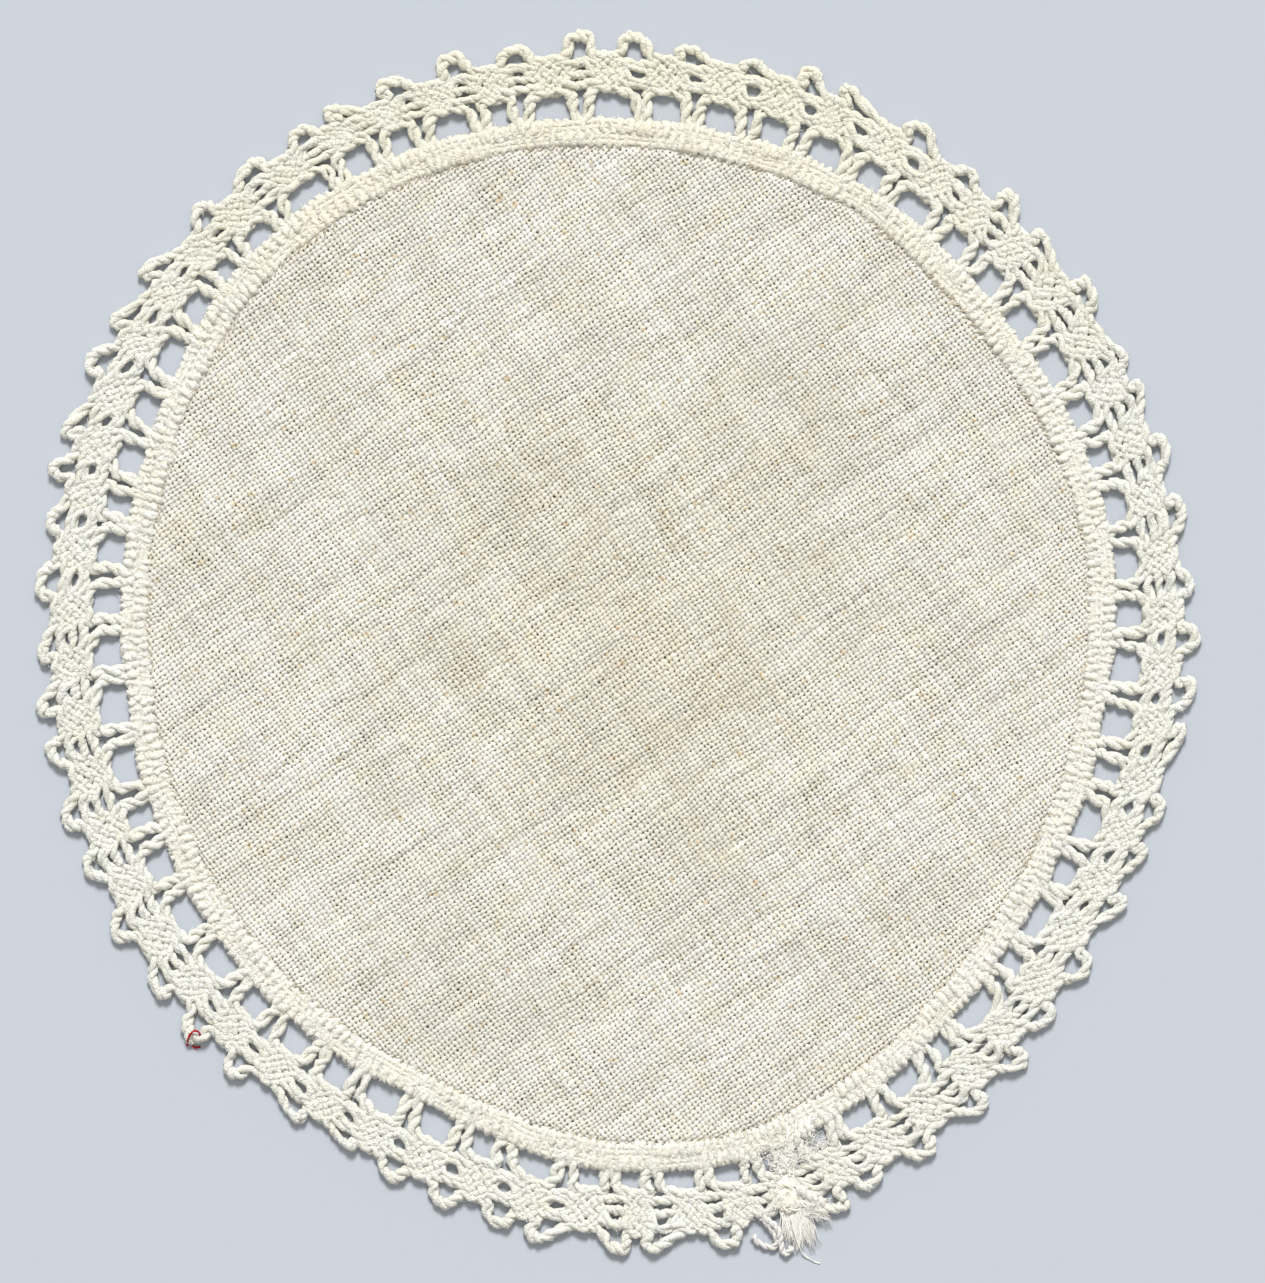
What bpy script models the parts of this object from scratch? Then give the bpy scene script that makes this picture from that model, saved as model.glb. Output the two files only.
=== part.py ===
"""A round linen doily with a bobbin lace edging, lying flat on the surface z = 0.

The origin is the middle of the underside. +Z is up. The strip of lace runs once round the disc and its two
ends are tied at the lower right.
"""

import math
from collections import namedtuple

import bmesh
import bpy
from mathutils import Matrix

MM = 0.001

# Thicknesses and gaps, in millimetres.
LINEN_THICK = 1.0
LACE_THICK = 1.4
SEAM_GAP = 0.3

# The lace repeats. Each has one large opening and one picot, the small loop on the outer edge.
REPEATS = 62
PICOT_HALF = 2.35
PICOT_HEIGHT = 2.5
PICOT_RISE = 0.85
PICOT_STEPS = 6
LEAN_AT_FOOT = 0.5
LOOP_HOLE_HALF = 0.85
LOOP_HOLE_TALL = 0.6
LOOP_HOLE_DOWN = 1.75
OPENING_HALF = 2.05
OPENING_TALL = 0.93
OPENING_SQUARE = 0.62
OPENING_STEPS = 10
EDGE_STEPS = 2

# Going clockwise, each row is a stretch of repeats: the angle of its first opening in degrees, the radii of
# the seam, the tape's outer side, the openings' outer side and the picots' tips there in millimetres, and
# how many degrees each picot of the stretch leans back from midway between its two openings.
Stretch = namedtuple("Stretch", "angle seam tape opening tip leans")
STRETCHES = (
    Stretch(85.0, 62.6, 66.0, 69.6, 77.0, (0.5, 0.5, 0.5, 0.8)),
    Stretch(61.0, 62.3, 65.5, 69.0, 76.5, (2.8, 0.3)),
    Stretch(50.0, 61.0, 64.5, 67.9, 75.6, (0.3, 1.4)),
    Stretch(38.5, 60.3, 63.5, 67.3, 75.6, (2.2, 1.8, 0.2, 2.5)),
    Stretch(15.0, 60.5, 63.8, 67.0, 74.4, (2.1, 0.6, 0.1, 0.8)),
    Stretch(-9.3, 59.2, 62.2, 66.3, 73.6, (1.2, 2.5, 0.1, 1.9)),
    Stretch(-33.3, 59.2, 62.5, 65.5, 73.1, (2.7, 1.3)),
    Stretch(-46.0, 60.3, 63.5, 67.0, 74.2, (1.4, 2.5)),
    Stretch(-57.0, 62.1, 65.0, 68.3, 76.4, (2.5, 0.8)),
    Stretch(-68.3, 63.5, 67.0, 69.8, 77.4, (0.5, 3.0)),
    Stretch(-78.0, 64.4, 67.7, 70.5, 78.5, (0.0, 1.5, -0.8)),
    Stretch(-93.0, 63.4, 67.0, 69.6, 77.6, (0.5, -1.6, 0.2)),
    Stretch(-110.5, 60.7, 63.8, 67.6, 75.3, (0.6, 0.8, 1.2)),
    Stretch(-129.0, 60.2, 63.5, 67.1, 74.2, (1.6, 0.6, 1.2)),
    Stretch(-147.5, 59.9, 63.2, 66.6, 74.4, (1.5, 0.7, 0.0, 0.8)),
    Stretch(-172.0, 59.6, 62.7, 66.7, 74.3, (0.0, 1.4, 2.3, 1.3)),
    Stretch(-195.5, 60.7, 63.9, 67.6, 75.1, (0.3, 1.0)),
    Stretch(-206.3, 62.0, 65.0, 68.6, 76.4, (2.4, 0.9)),
    Stretch(-218.5, 63.3, 66.7, 69.9, 77.0, (2.5, 2.6)),
    Stretch(-228.0, 64.1, 67.7, 70.2, 77.3, (0.0, -0.5)),
    Stretch(-241.7, 64.1, 67.7, 71.1, 77.3, (0.4, 2.4, 2.0)),
    Stretch(-257.0, 63.5, 66.8, 70.1, 77.2, (0.2, 0.0, -0.5)),
)

# The join: the picot and the openings that the tied ends take the place of, the notch that the knot fills,
# and its tuft of frayed ends, each lock by its place along the knot's side and its length in millimetres,
# the way it sets out in degrees from straight out, and how many degrees it bends.
JOIN_PICOT = 28
JOIN_OPENINGS = (26, 27)
JOIN_ANGLE = -73.4
NOTCH_HALF = 2.1
NOTCH_RADIUS = 71.6
KNOT_HALF = 1.8
KNOT_TALL = 4.7
KNOT_ROUND = 0.08
DOME_SIZE = (1.6, 2.0, 1.4)
DOME_RADIUS = 74.1
DOME_FOOT = 0.1
DOME_RINGS = 8
TUFT_THICK = 0.5
LOCK_HALF = 0.2
LOCK_STEPS = 4
Lock = namedtuple("Lock", "side length turn bend")
LOCKS = (
    Lock(-1.5, 3.0, -62.0, -16.0),
    Lock(-1.0, 4.4, -40.0, 8.0),
    Lock(-0.5, 5.4, -22.0, -6.0),
    Lock(0.0, 5.8, -4.0, 8.0),
    Lock(0.5, 5.0, 14.0, -6.0),
    Lock(1.0, 4.2, 34.0, 10.0),
    Lock(1.5, 3.2, 58.0, 16.0),
)

LINEN_COLOUR = (0.72, 0.68, 0.59, 1.0)
LACE_COLOUR = (0.86, 0.82, 0.71, 1.0)
TUFT_COLOUR = (0.88, 0.86, 0.78, 1.0)
CLOTH_ROUGHNESS = 0.9


def clear_scene():
    for thing in list(bpy.data.objects):
        bpy.data.objects.remove(thing, do_unlink=True)


def polar(angle, radius):
    """The point in metres at an angle in degrees and a radius in millimetres."""
    turn = math.radians(angle)
    return (math.cos(turn) * radius * MM, math.sin(turn) * radius * MM)


def uneven(number, salt):
    """A fixed value from -1 to 1 for each repeat, so that no two are quite alike."""
    return math.sin(number * 12.9898 + salt * 78.233)


def smooth(before, here, there, after, part):
    """Catmull-Rom from here to there, part of the way from 0 to 1."""
    slope = (there - before) / 2
    next_slope = (after - here) / 2
    rise = there - here
    cubed = slope + next_slope - 2 * rise
    squared = 3 * rise - 2 * slope - next_slope
    return here + part * (slope + part * (squared + part * cubed))


def stretch_starts():
    """The number of the first repeat of each stretch."""
    starts = [0]
    for stretch in STRETCHES:
        starts.append(starts[-1] + len(stretch.leans))
    return starts


STARTS = stretch_starts()
LEANS = [lean for stretch in STRETCHES for lean in stretch.leans]


def stretch_at(repeat):
    """The row that a repeat is in, and how far along it, from 0 to 1. Repeats may be fractions."""
    place = repeat % REPEATS
    row = max(i for i in range(len(STRETCHES)) if STARTS[i] <= place)
    return row, (place - STARTS[row]) / (STARTS[row + 1] - STARTS[row])


def radius_of(kind, repeat):
    row, part = stretch_at(repeat)
    rows = [getattr(STRETCHES[(row + step) % len(STRETCHES)], kind) for step in (-1, 0, 1, 2)]
    return smooth(*rows, part)


def opening_angle(repeat):
    """The angle of an opening's middle, going on past a full turn without a jump."""
    row, part = stretch_at(repeat)
    turns = math.floor(repeat / REPEATS)
    last = row + 1 == len(STRETCHES)
    there = STRETCHES[0].angle - 360 if last else STRETCHES[row + 1].angle
    here = STRETCHES[row].angle
    return here + (there - here) * part - 360 * turns


def picot_angle(repeat, share=1.0):
    """The angle of a picot's tip, or of its foot, which has leant by a smaller share."""
    return opening_angle(repeat - 0.5) + LEANS[repeat % REPEATS] * share


def tip_radius(repeat):
    return radius_of("tip", repeat - 0.5) + 0.4 * uneven(repeat, 1)


def local(angle, radius, along, out):
    """A point placed from a spot on the ring: along clockwise and out from the middle, in millimetres."""
    return polar(angle - math.degrees(along / radius), radius + out)


def ring_points(kind, shift):
    """The ring at one of the table's radii, a little in or out."""
    steps = REPEATS * EDGE_STEPS
    spots = [i / EDGE_STEPS for i in range(steps)]
    return [polar(opening_angle(s), radius_of(kind, s) + shift) for s in spots]


def picot_points(repeat):
    """The arch of one picot's outer side."""
    base = tip_radius(repeat) - PICOT_HEIGHT
    half = PICOT_HALF * (1 + 0.12 * uneven(repeat, 2))
    points = []
    for step in range(PICOT_STEPS + 1):
        turn = math.pi * step / PICOT_STEPS
        rise = abs(math.sin(turn)) ** PICOT_RISE
        angle = picot_angle(repeat, LEAN_AT_FOOT + (1 - LEAN_AT_FOOT) * rise)
        points.append(local(angle, base, -half * math.cos(turn), PICOT_HEIGHT * rise))
    return points


def notch_points():
    """The notch in the head where the strip's two ends meet, down one side and up the other."""
    top = tip_radius(JOIN_PICOT) - PICOT_HEIGHT
    sides = (-NOTCH_HALF, NOTCH_HALF)
    down = [local(JOIN_ANGLE, top, sides[0], 0), local(JOIN_ANGLE, NOTCH_RADIUS, sides[0], 0)]
    up = [local(JOIN_ANGLE, NOTCH_RADIUS, sides[1], 0), local(JOIN_ANGLE, top, sides[1], 0)]
    return down + up


def lace_rim():
    """The lace's whole outer edge: a picot, then the straighter side of a block, all the way round."""
    points = []
    for repeat in range(REPEATS):
        if repeat == JOIN_PICOT:
            points.extend(notch_points())
        else:
            points.extend(picot_points(repeat))
        if repeat not in (JOIN_PICOT - 1, JOIN_PICOT):
            dip = (tip_radius(repeat) + tip_radius(repeat + 1)) / 2 - PICOT_HEIGHT
            feet = [picot_angle(repeat + step, LEAN_AT_FOOT) for step in (0, 1)]
            middle = sum(feet) / 2
            points.append(polar(middle, dip + 0.25 * uneven(repeat, 3)))
    return points


def opening_points(repeat):
    """One large opening between the tape and the blocks, squarish with round corners."""
    low = radius_of("tape", repeat)
    high = radius_of("opening", repeat)
    half = OPENING_HALF * (1 + 0.16 * uneven(repeat, 4))
    middle = (low + high) / 2
    lean = 0.35 * uneven(repeat, 5)
    points = []
    for step in range(OPENING_STEPS):
        turn = 2 * math.pi * (step + 0.5) / OPENING_STEPS
        across = math.copysign(abs(math.cos(turn)) ** OPENING_SQUARE, math.cos(turn))
        tall = math.copysign(abs(math.sin(turn)) ** OPENING_SQUARE, math.sin(turn))
        out = (high - low) / 2 * OPENING_TALL * tall
        points.append(local(opening_angle(repeat), middle, half * across + lean * tall, out))
    return points


def loop_hole_points(repeat):
    """The small hole inside one picot's loop."""
    angle = picot_angle(repeat)
    middle = tip_radius(repeat) - LOOP_HOLE_DOWN
    points = []
    for step in range(PICOT_STEPS):
        turn = 2 * math.pi * step / PICOT_STEPS
        across = LOOP_HOLE_HALF * math.cos(turn)
        points.append(local(angle, middle, across, LOOP_HOLE_TALL * math.sin(turn)))
    return points


def flat_solid(name, outlines, thick):
    """A mesh object cut to outlines, lying on the floor. Outlines inside the first one are holes."""
    curve = bpy.data.curves.new(name, "CURVE")
    curve.dimensions = "2D"
    curve.fill_mode = "BOTH"
    curve.extrude = thick * MM / 2
    for points in outlines:
        spline = curve.splines.new("POLY")
        spline.points.add(len(points) - 1)
        for knot, (x, y) in zip(spline.points, points):
            knot.co = (x, y, 0.0, 1.0)
        spline.use_cyclic_u = True
    shape = bpy.data.objects.new(name + "_outline", curve)
    bpy.context.scene.collection.objects.link(shape)
    shape.location.z = thick * MM / 2
    depsgraph = bpy.context.evaluated_depsgraph_get()
    mesh = bpy.data.meshes.new_from_object(shape.evaluated_get(depsgraph))
    solid = bpy.data.objects.new(name, mesh)
    solid.matrix_world = shape.matrix_world
    bpy.data.objects.remove(shape, do_unlink=True)
    weld(mesh)
    return solid


def weld(mesh):
    """Joins the caps to the sides and points every face out."""
    shape = bmesh.new()
    shape.from_mesh(mesh)
    bmesh.ops.remove_doubles(shape, verts=shape.verts, dist=1e-6)
    bmesh.ops.recalc_face_normals(shape, faces=shape.faces)
    shape.to_mesh(mesh)
    shape.free()


def cloth_material(name, colour):
    material = bpy.data.materials.new(name)
    material.use_nodes = True
    shader = material.node_tree.nodes["Principled BSDF"]
    shader.inputs["Base Color"].default_value = colour
    shader.inputs["Roughness"].default_value = CLOTH_ROUGHNESS
    shader.inputs["Metallic"].default_value = 0.0
    return material


def finish(solid, collection, material):
    solid.data.materials.clear()
    solid.data.materials.append(material)
    collection.objects.link(solid)


def lock_points(lock, foot):
    """One tapering lock of frayed ends, out along its left side to the tip and back along its right."""
    left, right = [], []
    along, out = lock.side, foot
    for step in range(LOCK_STEPS):
        part = step / LOCK_STEPS
        heading = math.radians(lock.turn + lock.bend * part)
        half = LOCK_HALF * (1 - 0.55 * part)
        left.append((along - half * math.cos(heading), out + half * math.sin(heading)))
        right.append((along + half * math.cos(heading), out - half * math.sin(heading)))
        along += lock.length / LOCK_STEPS * math.sin(heading)
        out += lock.length / LOCK_STEPS * math.cos(heading)
    return left + [(along, out)] + right[::-1]


def tuft_outline():
    """The knot's flat body in the notch, with the locks standing out from its outer side."""
    top = NOTCH_RADIUS + SEAM_GAP + KNOT_TALL
    right_side = [(1.0, 0.9), (1.0, 0.2), (0.7, 0.0)]
    left_side = [(-across, up) for across, up in reversed(right_side)]
    spots = [(across * KNOT_HALF, up * KNOT_TALL) for across, up in right_side + left_side]
    for lock in LOCKS:
        foot = KNOT_TALL - KNOT_ROUND * lock.side ** 2
        spots.extend(lock_points(lock, foot))
    floor = NOTCH_RADIUS + SEAM_GAP
    return [local(JOIN_ANGLE, top, along, floor + out - top) for along, out in spots]


def make_linen(collection):
    edge = ring_points("seam", -SEAM_GAP / 2)
    linen = flat_solid("linen_round", [edge], LINEN_THICK)
    finish(linen, collection, cloth_material("linen", LINEN_COLOUR))


def make_lace(collection):
    outlines = [lace_rim(), ring_points("seam", SEAM_GAP / 2)]
    for repeat in range(REPEATS):
        if repeat not in JOIN_OPENINGS:
            outlines.append(opening_points(repeat))
        if repeat != JOIN_PICOT:
            outlines.append(loop_hole_points(repeat))
    lace = flat_solid("lace_edging", outlines, LACE_THICK)
    finish(lace, collection, cloth_material("lace", LACE_COLOUR))


def knot_dome(collection):
    """The knot's round top, sunk a little into the flat body that it is joined to."""
    mesh = bpy.data.meshes.new("knot_dome")
    shape = bmesh.new()
    bmesh.ops.create_uvsphere(shape, u_segments=2 * DOME_RINGS, v_segments=DOME_RINGS, radius=MM)
    bmesh.ops.scale(shape, vec=DOME_SIZE, verts=shape.verts)
    every = shape.verts[:] + shape.edges[:] + shape.faces[:]
    foot = (0.0, 0.0, DOME_FOOT * MM)
    up = (0.0, 0.0, 1.0)
    cut = bmesh.ops.bisect_plane(shape, geom=every, plane_co=foot, plane_no=up, clear_inner=True)
    rim = [edge for edge in cut["geom_cut"] if isinstance(edge, bmesh.types.BMEdge)]
    bmesh.ops.contextual_create(shape, geom=rim)
    bmesh.ops.recalc_face_normals(shape, faces=shape.faces)
    turned = Matrix.Rotation(math.radians(JOIN_ANGLE + 90), 3, "Z")
    bmesh.ops.rotate(shape, verts=shape.verts, matrix=turned)
    bmesh.ops.translate(shape, verts=shape.verts, vec=(*polar(JOIN_ANGLE, DOME_RADIUS), 0.0))
    shape.to_mesh(mesh)
    shape.free()
    dome = bpy.data.objects.new("knot_dome", mesh)
    dome.hide_render = True
    dome.display_type = "WIRE"
    collection.objects.link(dome)
    return dome


def make_tuft(collection, helpers):
    tuft = flat_solid("join_tuft", [tuft_outline()], TUFT_THICK)
    finish(tuft, collection, cloth_material("tuft", TUFT_COLOUR))
    union = tuft.modifiers.new("knot", "BOOLEAN")
    union.operation = "UNION"
    union.solver = "EXACT"
    union.object = knot_dome(helpers)


def main():
    clear_scene()
    doily = bpy.data.collections.new("lace_doily")
    helpers = bpy.data.collections.new("shaping_bodies")
    bpy.context.scene.collection.children.link(doily)
    bpy.context.scene.collection.children.link(helpers)
    make_linen(doily)
    make_lace(doily)
    make_tuft(doily, helpers)


main()
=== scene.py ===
# %% [markdown]
# # A linen doily with a bobbin lace edging
# The real thing is a small round of plain-woven linen with a strip of cotton bobbin lace sewn on
# round its edge. The strip's two ends are tied together at the lower right, where they have
# frayed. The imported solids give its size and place. They are loaded first, and the pieces made
# below stand in for them, thread by thread.

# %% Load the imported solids
import math
from collections import namedtuple
from random import Random

import bmesh
import bpy
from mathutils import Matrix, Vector, noise


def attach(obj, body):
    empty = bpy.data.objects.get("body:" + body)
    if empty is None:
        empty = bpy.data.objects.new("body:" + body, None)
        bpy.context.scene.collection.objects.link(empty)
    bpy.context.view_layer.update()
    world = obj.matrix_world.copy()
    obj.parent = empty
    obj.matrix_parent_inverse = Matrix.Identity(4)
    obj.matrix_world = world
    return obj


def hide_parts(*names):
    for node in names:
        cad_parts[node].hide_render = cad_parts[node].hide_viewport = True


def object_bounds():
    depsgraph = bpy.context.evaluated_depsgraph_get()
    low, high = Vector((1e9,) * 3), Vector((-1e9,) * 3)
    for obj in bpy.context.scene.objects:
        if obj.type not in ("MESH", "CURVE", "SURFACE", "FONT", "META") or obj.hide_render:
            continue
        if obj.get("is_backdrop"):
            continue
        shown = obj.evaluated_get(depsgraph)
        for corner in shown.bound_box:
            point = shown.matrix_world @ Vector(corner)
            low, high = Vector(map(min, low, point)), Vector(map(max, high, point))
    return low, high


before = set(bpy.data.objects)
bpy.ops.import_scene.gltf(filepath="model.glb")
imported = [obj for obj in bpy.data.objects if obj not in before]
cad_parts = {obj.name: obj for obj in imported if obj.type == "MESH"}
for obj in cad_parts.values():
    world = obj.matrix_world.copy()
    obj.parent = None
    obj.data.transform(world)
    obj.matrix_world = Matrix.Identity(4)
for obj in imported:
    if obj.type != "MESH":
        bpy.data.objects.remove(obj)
cad_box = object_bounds()
print("solids:", ", ".join(sorted(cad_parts)))

# %% [markdown]
# ## The shape of the ring
# Bobbin lace is made as a straight strip. The same few stitches come again and again along it,
# and here there are 62 repeats. Sewn round a disc, the strip wavers: it was cut and eased by
# hand. The table says where each stretch of repeats lies. Going clockwise, a row has the angle
# of its first opening in degrees, then the radii of the seam, the tape's outer side, the
# openings' outer side and the picots' tips in millimetres, and how many degrees each picot of
# the stretch leans back. A smooth curve through the rows gives the places between them.

# %% The table of the ring
MM = 0.001
REPEATS = 62

Stretch = namedtuple("Stretch", "angle seam tape opening tip leans")
STRETCHES = (
    Stretch(85.0, 62.6, 66.0, 69.6, 77.0, (0.5, 0.5, 0.5, 0.8)),
    Stretch(61.0, 62.3, 65.5, 69.0, 76.5, (2.8, 0.3)),
    Stretch(50.0, 61.0, 64.5, 67.9, 75.6, (0.3, 1.4)),
    Stretch(38.5, 60.3, 63.5, 67.3, 75.6, (2.2, 1.8, 0.2, 2.5)),
    Stretch(15.0, 60.5, 63.8, 67.0, 74.4, (2.1, 0.6, 0.1, 0.8)),
    Stretch(-9.3, 59.2, 62.2, 66.3, 73.6, (1.2, 2.5, 0.1, 1.9)),
    Stretch(-33.3, 59.2, 62.5, 65.5, 73.1, (2.7, 1.3)),
    Stretch(-46.0, 60.3, 63.5, 67.0, 74.2, (1.4, 2.5)),
    Stretch(-57.0, 62.1, 65.0, 68.3, 76.4, (2.5, 0.8)),
    Stretch(-68.3, 63.5, 67.0, 69.8, 77.4, (0.5, 3.0)),
    Stretch(-78.0, 64.4, 67.7, 70.5, 78.5, (0.0, 1.5, -0.8)),
    Stretch(-93.0, 63.4, 67.0, 69.6, 77.6, (0.5, -1.6, 0.2)),
    Stretch(-110.5, 60.7, 63.8, 67.6, 75.3, (0.6, 0.8, 1.2)),
    Stretch(-129.0, 60.2, 63.5, 67.1, 74.2, (1.6, 0.6, 1.2)),
    Stretch(-147.5, 59.9, 63.2, 66.6, 74.4, (1.5, 0.7, 0.0, 0.8)),
    Stretch(-172.0, 59.6, 62.7, 66.7, 74.3, (0.0, 1.4, 2.3, 1.3)),
    Stretch(-195.5, 60.7, 63.9, 67.6, 75.1, (0.3, 1.0)),
    Stretch(-206.3, 62.0, 65.0, 68.6, 76.4, (2.4, 0.9)),
    Stretch(-218.5, 63.3, 66.7, 69.9, 77.0, (2.5, 2.6)),
    Stretch(-228.0, 64.1, 67.7, 70.2, 77.3, (0.0, -0.5)),
    Stretch(-241.7, 64.1, 67.7, 71.1, 77.3, (0.4, 2.4, 2.0)),
    Stretch(-257.0, 63.5, 66.8, 70.1, 77.2, (0.2, 0.0, -0.5)),
)
LEANS = [lean for stretch in STRETCHES for lean in stretch.leans]

# How each repeat strays from the even pattern, in millimetres: how much further its picot
# reaches, how far the picot is pushed along, its width, and where its opening starts and ends.
REACHES = (
    0.8, -0.7, -1.2, 0.4, 0.2, 0.0, -0.9, 0.6, -0.4, 0.1, -1.0, -0.8, -0.2, 0.1, -0.6, 0.3,
    0.2, 0.0, -0.7, -0.7, -0.2, 0.1, -0.5, 0.4, -0.1, 0.2, -0.4, 0.4, 0.0, 0.4, -0.3, 0.5,
    0.1, 0.0, 0.2, -0.2, -1.4, -0.7, 0.5, 0.9, -0.1, 0.4, -0.2, 0.2, -0.2, 0.2, -0.6, -0.2,
    -0.7, 0.5, -0.2, 0.2, -0.4, 0.2, 0.2, -0.1, 0.0, 0.1, 0.2, 1.0, -0.4, 1.3)
PUSHES = (
    -0.2, -0.9, -0.6, -0.6, -1.4, -0.8, 0.0, -0.3, -0.6, 0.2, 0.7, -0.2, 0.2, -0.5, 0.3, 0.1,
    -0.2, -1.2, -0.4, -1.0, -0.4, -0.1, -0.3, -0.5, 0.0, -0.2, 0.5, 0.2, 0.0, 0.1, 1.1, -0.3,
    1.1, 0.3, 0.4, 0.1, -0.3, -0.4, 0.3, -0.1, -0.3, -0.1, 0.1, -0.2, -0.1, -0.8, -0.5, 0.1,
    -0.4, -0.6, -1.0, -0.3, -1.1, -0.8, 0.3, 0.1, 0.0, -1.5, -0.4, -0.3, -0.2, 0.0)
WIDTHS = (
    4.5, 4.0, 2.6, 3.4, 4.1, 4.7, 3.1, 4.2, 3.4, 4.4, 2.7, 3.3, 5.6, 5.3, 3.3, 3.7,
    5.5, 5.5, 3.6, 4.0, 3.8, 4.9, 5.3, 5.3, 4.2, 3.6, 5.6, 5.6, 4.2, 4.7, 5.6, 5.6,
    4.5, 5.6, 4.2, 4.1, 2.6, 3.7, 3.1, 4.1, 5.2, 4.1, 3.8, 4.3, 4.5, 4.4, 3.0, 5.5,
    3.3, 4.2, 5.0, 5.3, 3.7, 5.5, 3.7, 5.4, 3.9, 5.5, 5.6, 4.9, 5.6, 4.4)
OPENING_STARTS = (
    -1.5, -2.0, -1.6, -2.1, -1.9, -2.7, -1.3, -1.5, -1.8, -1.9, -1.1, -1.2, -1.8, -1.3, -1.7, -2.2,
    -1.8, -1.5, -2.6, -1.4, -2.3, -1.5, -2.6, -1.0, -1.6, -0.7, -1.2, -1.2, -0.9, -1.4, 0.1, -1.1,
    -1.3, -0.7, -1.8, -1.5, -1.1, -1.9, -1.4, -2.1, -1.8, -1.3, -0.9, -2.1, -1.3, -0.6, -0.7, -0.7,
    -1.3, -2.5, -1.8, -2.1, -1.6, -1.1, -0.2, -1.9, -1.5, -1.8, -1.7, -0.8, -1.8, -1.6)
OPENING_ENDS = (
    1.8, 1.8, 1.5, 2.0, 1.1, 1.8, 1.9, 1.8, 2.2, 2.8, 2.3, 0.4, 1.6, 2.3, 1.5, 1.6,
    2.0, 0.7, 2.1, 2.0, 2.8, 0.2, 3.1, 0.3, 1.6, 2.8, 1.6, 1.6, 2.4, 2.8, 2.7, 0.9,
    2.7, 1.8, 2.3, 2.9, 1.8, 1.6, 1.4, 2.1, 2.5, 2.3, 1.2, 2.3, 3.6, 3.1, 2.3, 2.8,
    0.9, 0.9, 1.5, 2.3, 2.2, 0.6, 1.8, 2.7, 1.5, 0.5, 2.6, 0.9, 1.5, 2.8)
STARTS = [sum(len(s.leans) for s in STRETCHES[:row]) for row in range(len(STRETCHES) + 1)]
print("repeats:", STARTS[-1])

# %% Where a repeat lies
def uneven(number, salt):
    """A fixed value from -1 to 1 for each number, so that no two repeats are quite alike."""
    return math.sin(number * 12.9898 + salt * 78.233)


def smooth(before, here, there, after, part):
    """Catmull-Rom from here to there, part of the way from 0 to 1."""
    slope, next_slope, rise = (there - before) / 2, (after - here) / 2, there - here
    cubed = slope + next_slope - 2 * rise
    squared = 3 * rise - 2 * slope - next_slope
    return here + part * (slope + part * (squared + part * cubed))


def stretch_at(repeat):
    """The row of the table that a repeat is in, and how far through the row it is."""
    place = repeat % REPEATS
    row = max(i for i in range(len(STRETCHES)) if STARTS[i] <= place)
    return row, (place - STARTS[row]) / (STARTS[row + 1] - STARTS[row])


def radius_of(kind, repeat):
    """One of the table's radii at a repeat, or part of the way to the next one."""
    row, part = stretch_at(repeat)
    rows = [getattr(STRETCHES[(row + step) % len(STRETCHES)], kind) for step in (-1, 0, 1, 2)]
    return smooth(*rows, part)


def opening_angle(repeat):
    """Where a repeat's opening is, in degrees; a second time round goes on counting down."""
    row, part = stretch_at(repeat)
    last = row + 1 == len(STRETCHES)
    here, there = STRETCHES[row].angle, STRETCHES[0].angle - 360 if last else STRETCHES[row + 1].angle
    return here + (there - here) * part - 360 * math.floor(repeat / REPEATS)


def polar(angle, radius):
    """The point, in millimetres, at an angle in degrees and a radius from the middle."""
    turn = math.radians(angle)
    return math.cos(turn) * radius, math.sin(turn) * radius


print("seam radius, mm:", round(min(radius_of("seam", r) for r in range(REPEATS)), 1), "to",
      round(max(radius_of("seam", r) for r in range(REPEATS)), 1))

# %% [markdown]
# ## From the straight strip to the ring
# It is far easier to think of the lace as a straight strip, as it lay on the lacemaker's pillow.
# `lay` takes a place on that strip, counted in repeats along it and in millimetres out from the
# seam, and bends it round the disc. A slow wobble, the same for all threads that pass a spot,
# makes it look made by hand while the crossings still meet.

# %% Lay a point of the strip round the disc
MARKS = (0.0, 3.4, 6.9, 11.8, 14.3)      # seam, tape's edge, openings' edge, blocks' tops, tips
PITCH = 7.3                              # length of a repeat along the blocks
PICOT_TALL = 2.5                         # from the blocks' tops to a picot's tip
LEAN_SHARE = 0.5                         # of a picot's lean, how much its block already has
WOBBLE = 0.20                            # how far a spot strays, in millimetres
SMALL_WAVE, LARGE_WAVE = 2.4, 6.5        # how long the wobble's waves are
noise.seed_set(1)                        # noise_vector starts from the clock unless it is told


def lean_at(repeat, out):
    """How many degrees the lace leans back at a place on the strip."""
    place = repeat + 0.5
    picot, part = math.floor(place), place % 1
    lean = LEANS[picot % REPEATS] * (1 - part) + LEANS[(picot + 1) % REPEATS] * part
    if out <= MARKS[2]:
        return 0.0
    low = min(1.0, (out - MARKS[2]) / (MARKS[3] - MARKS[2]))
    high = max(0.0, (out - MARKS[3]) / (MARKS[4] - MARKS[3]))
    return lean * LEAN_SHARE * (low + high)


def radii_at(repeat):
    """The radius of each of the marks at a repeat."""
    tip = radius_of("tip", repeat)
    return [radius_of(kind, repeat) for kind in ("seam", "tape", "opening")] + [tip - PICOT_TALL, tip]


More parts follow.
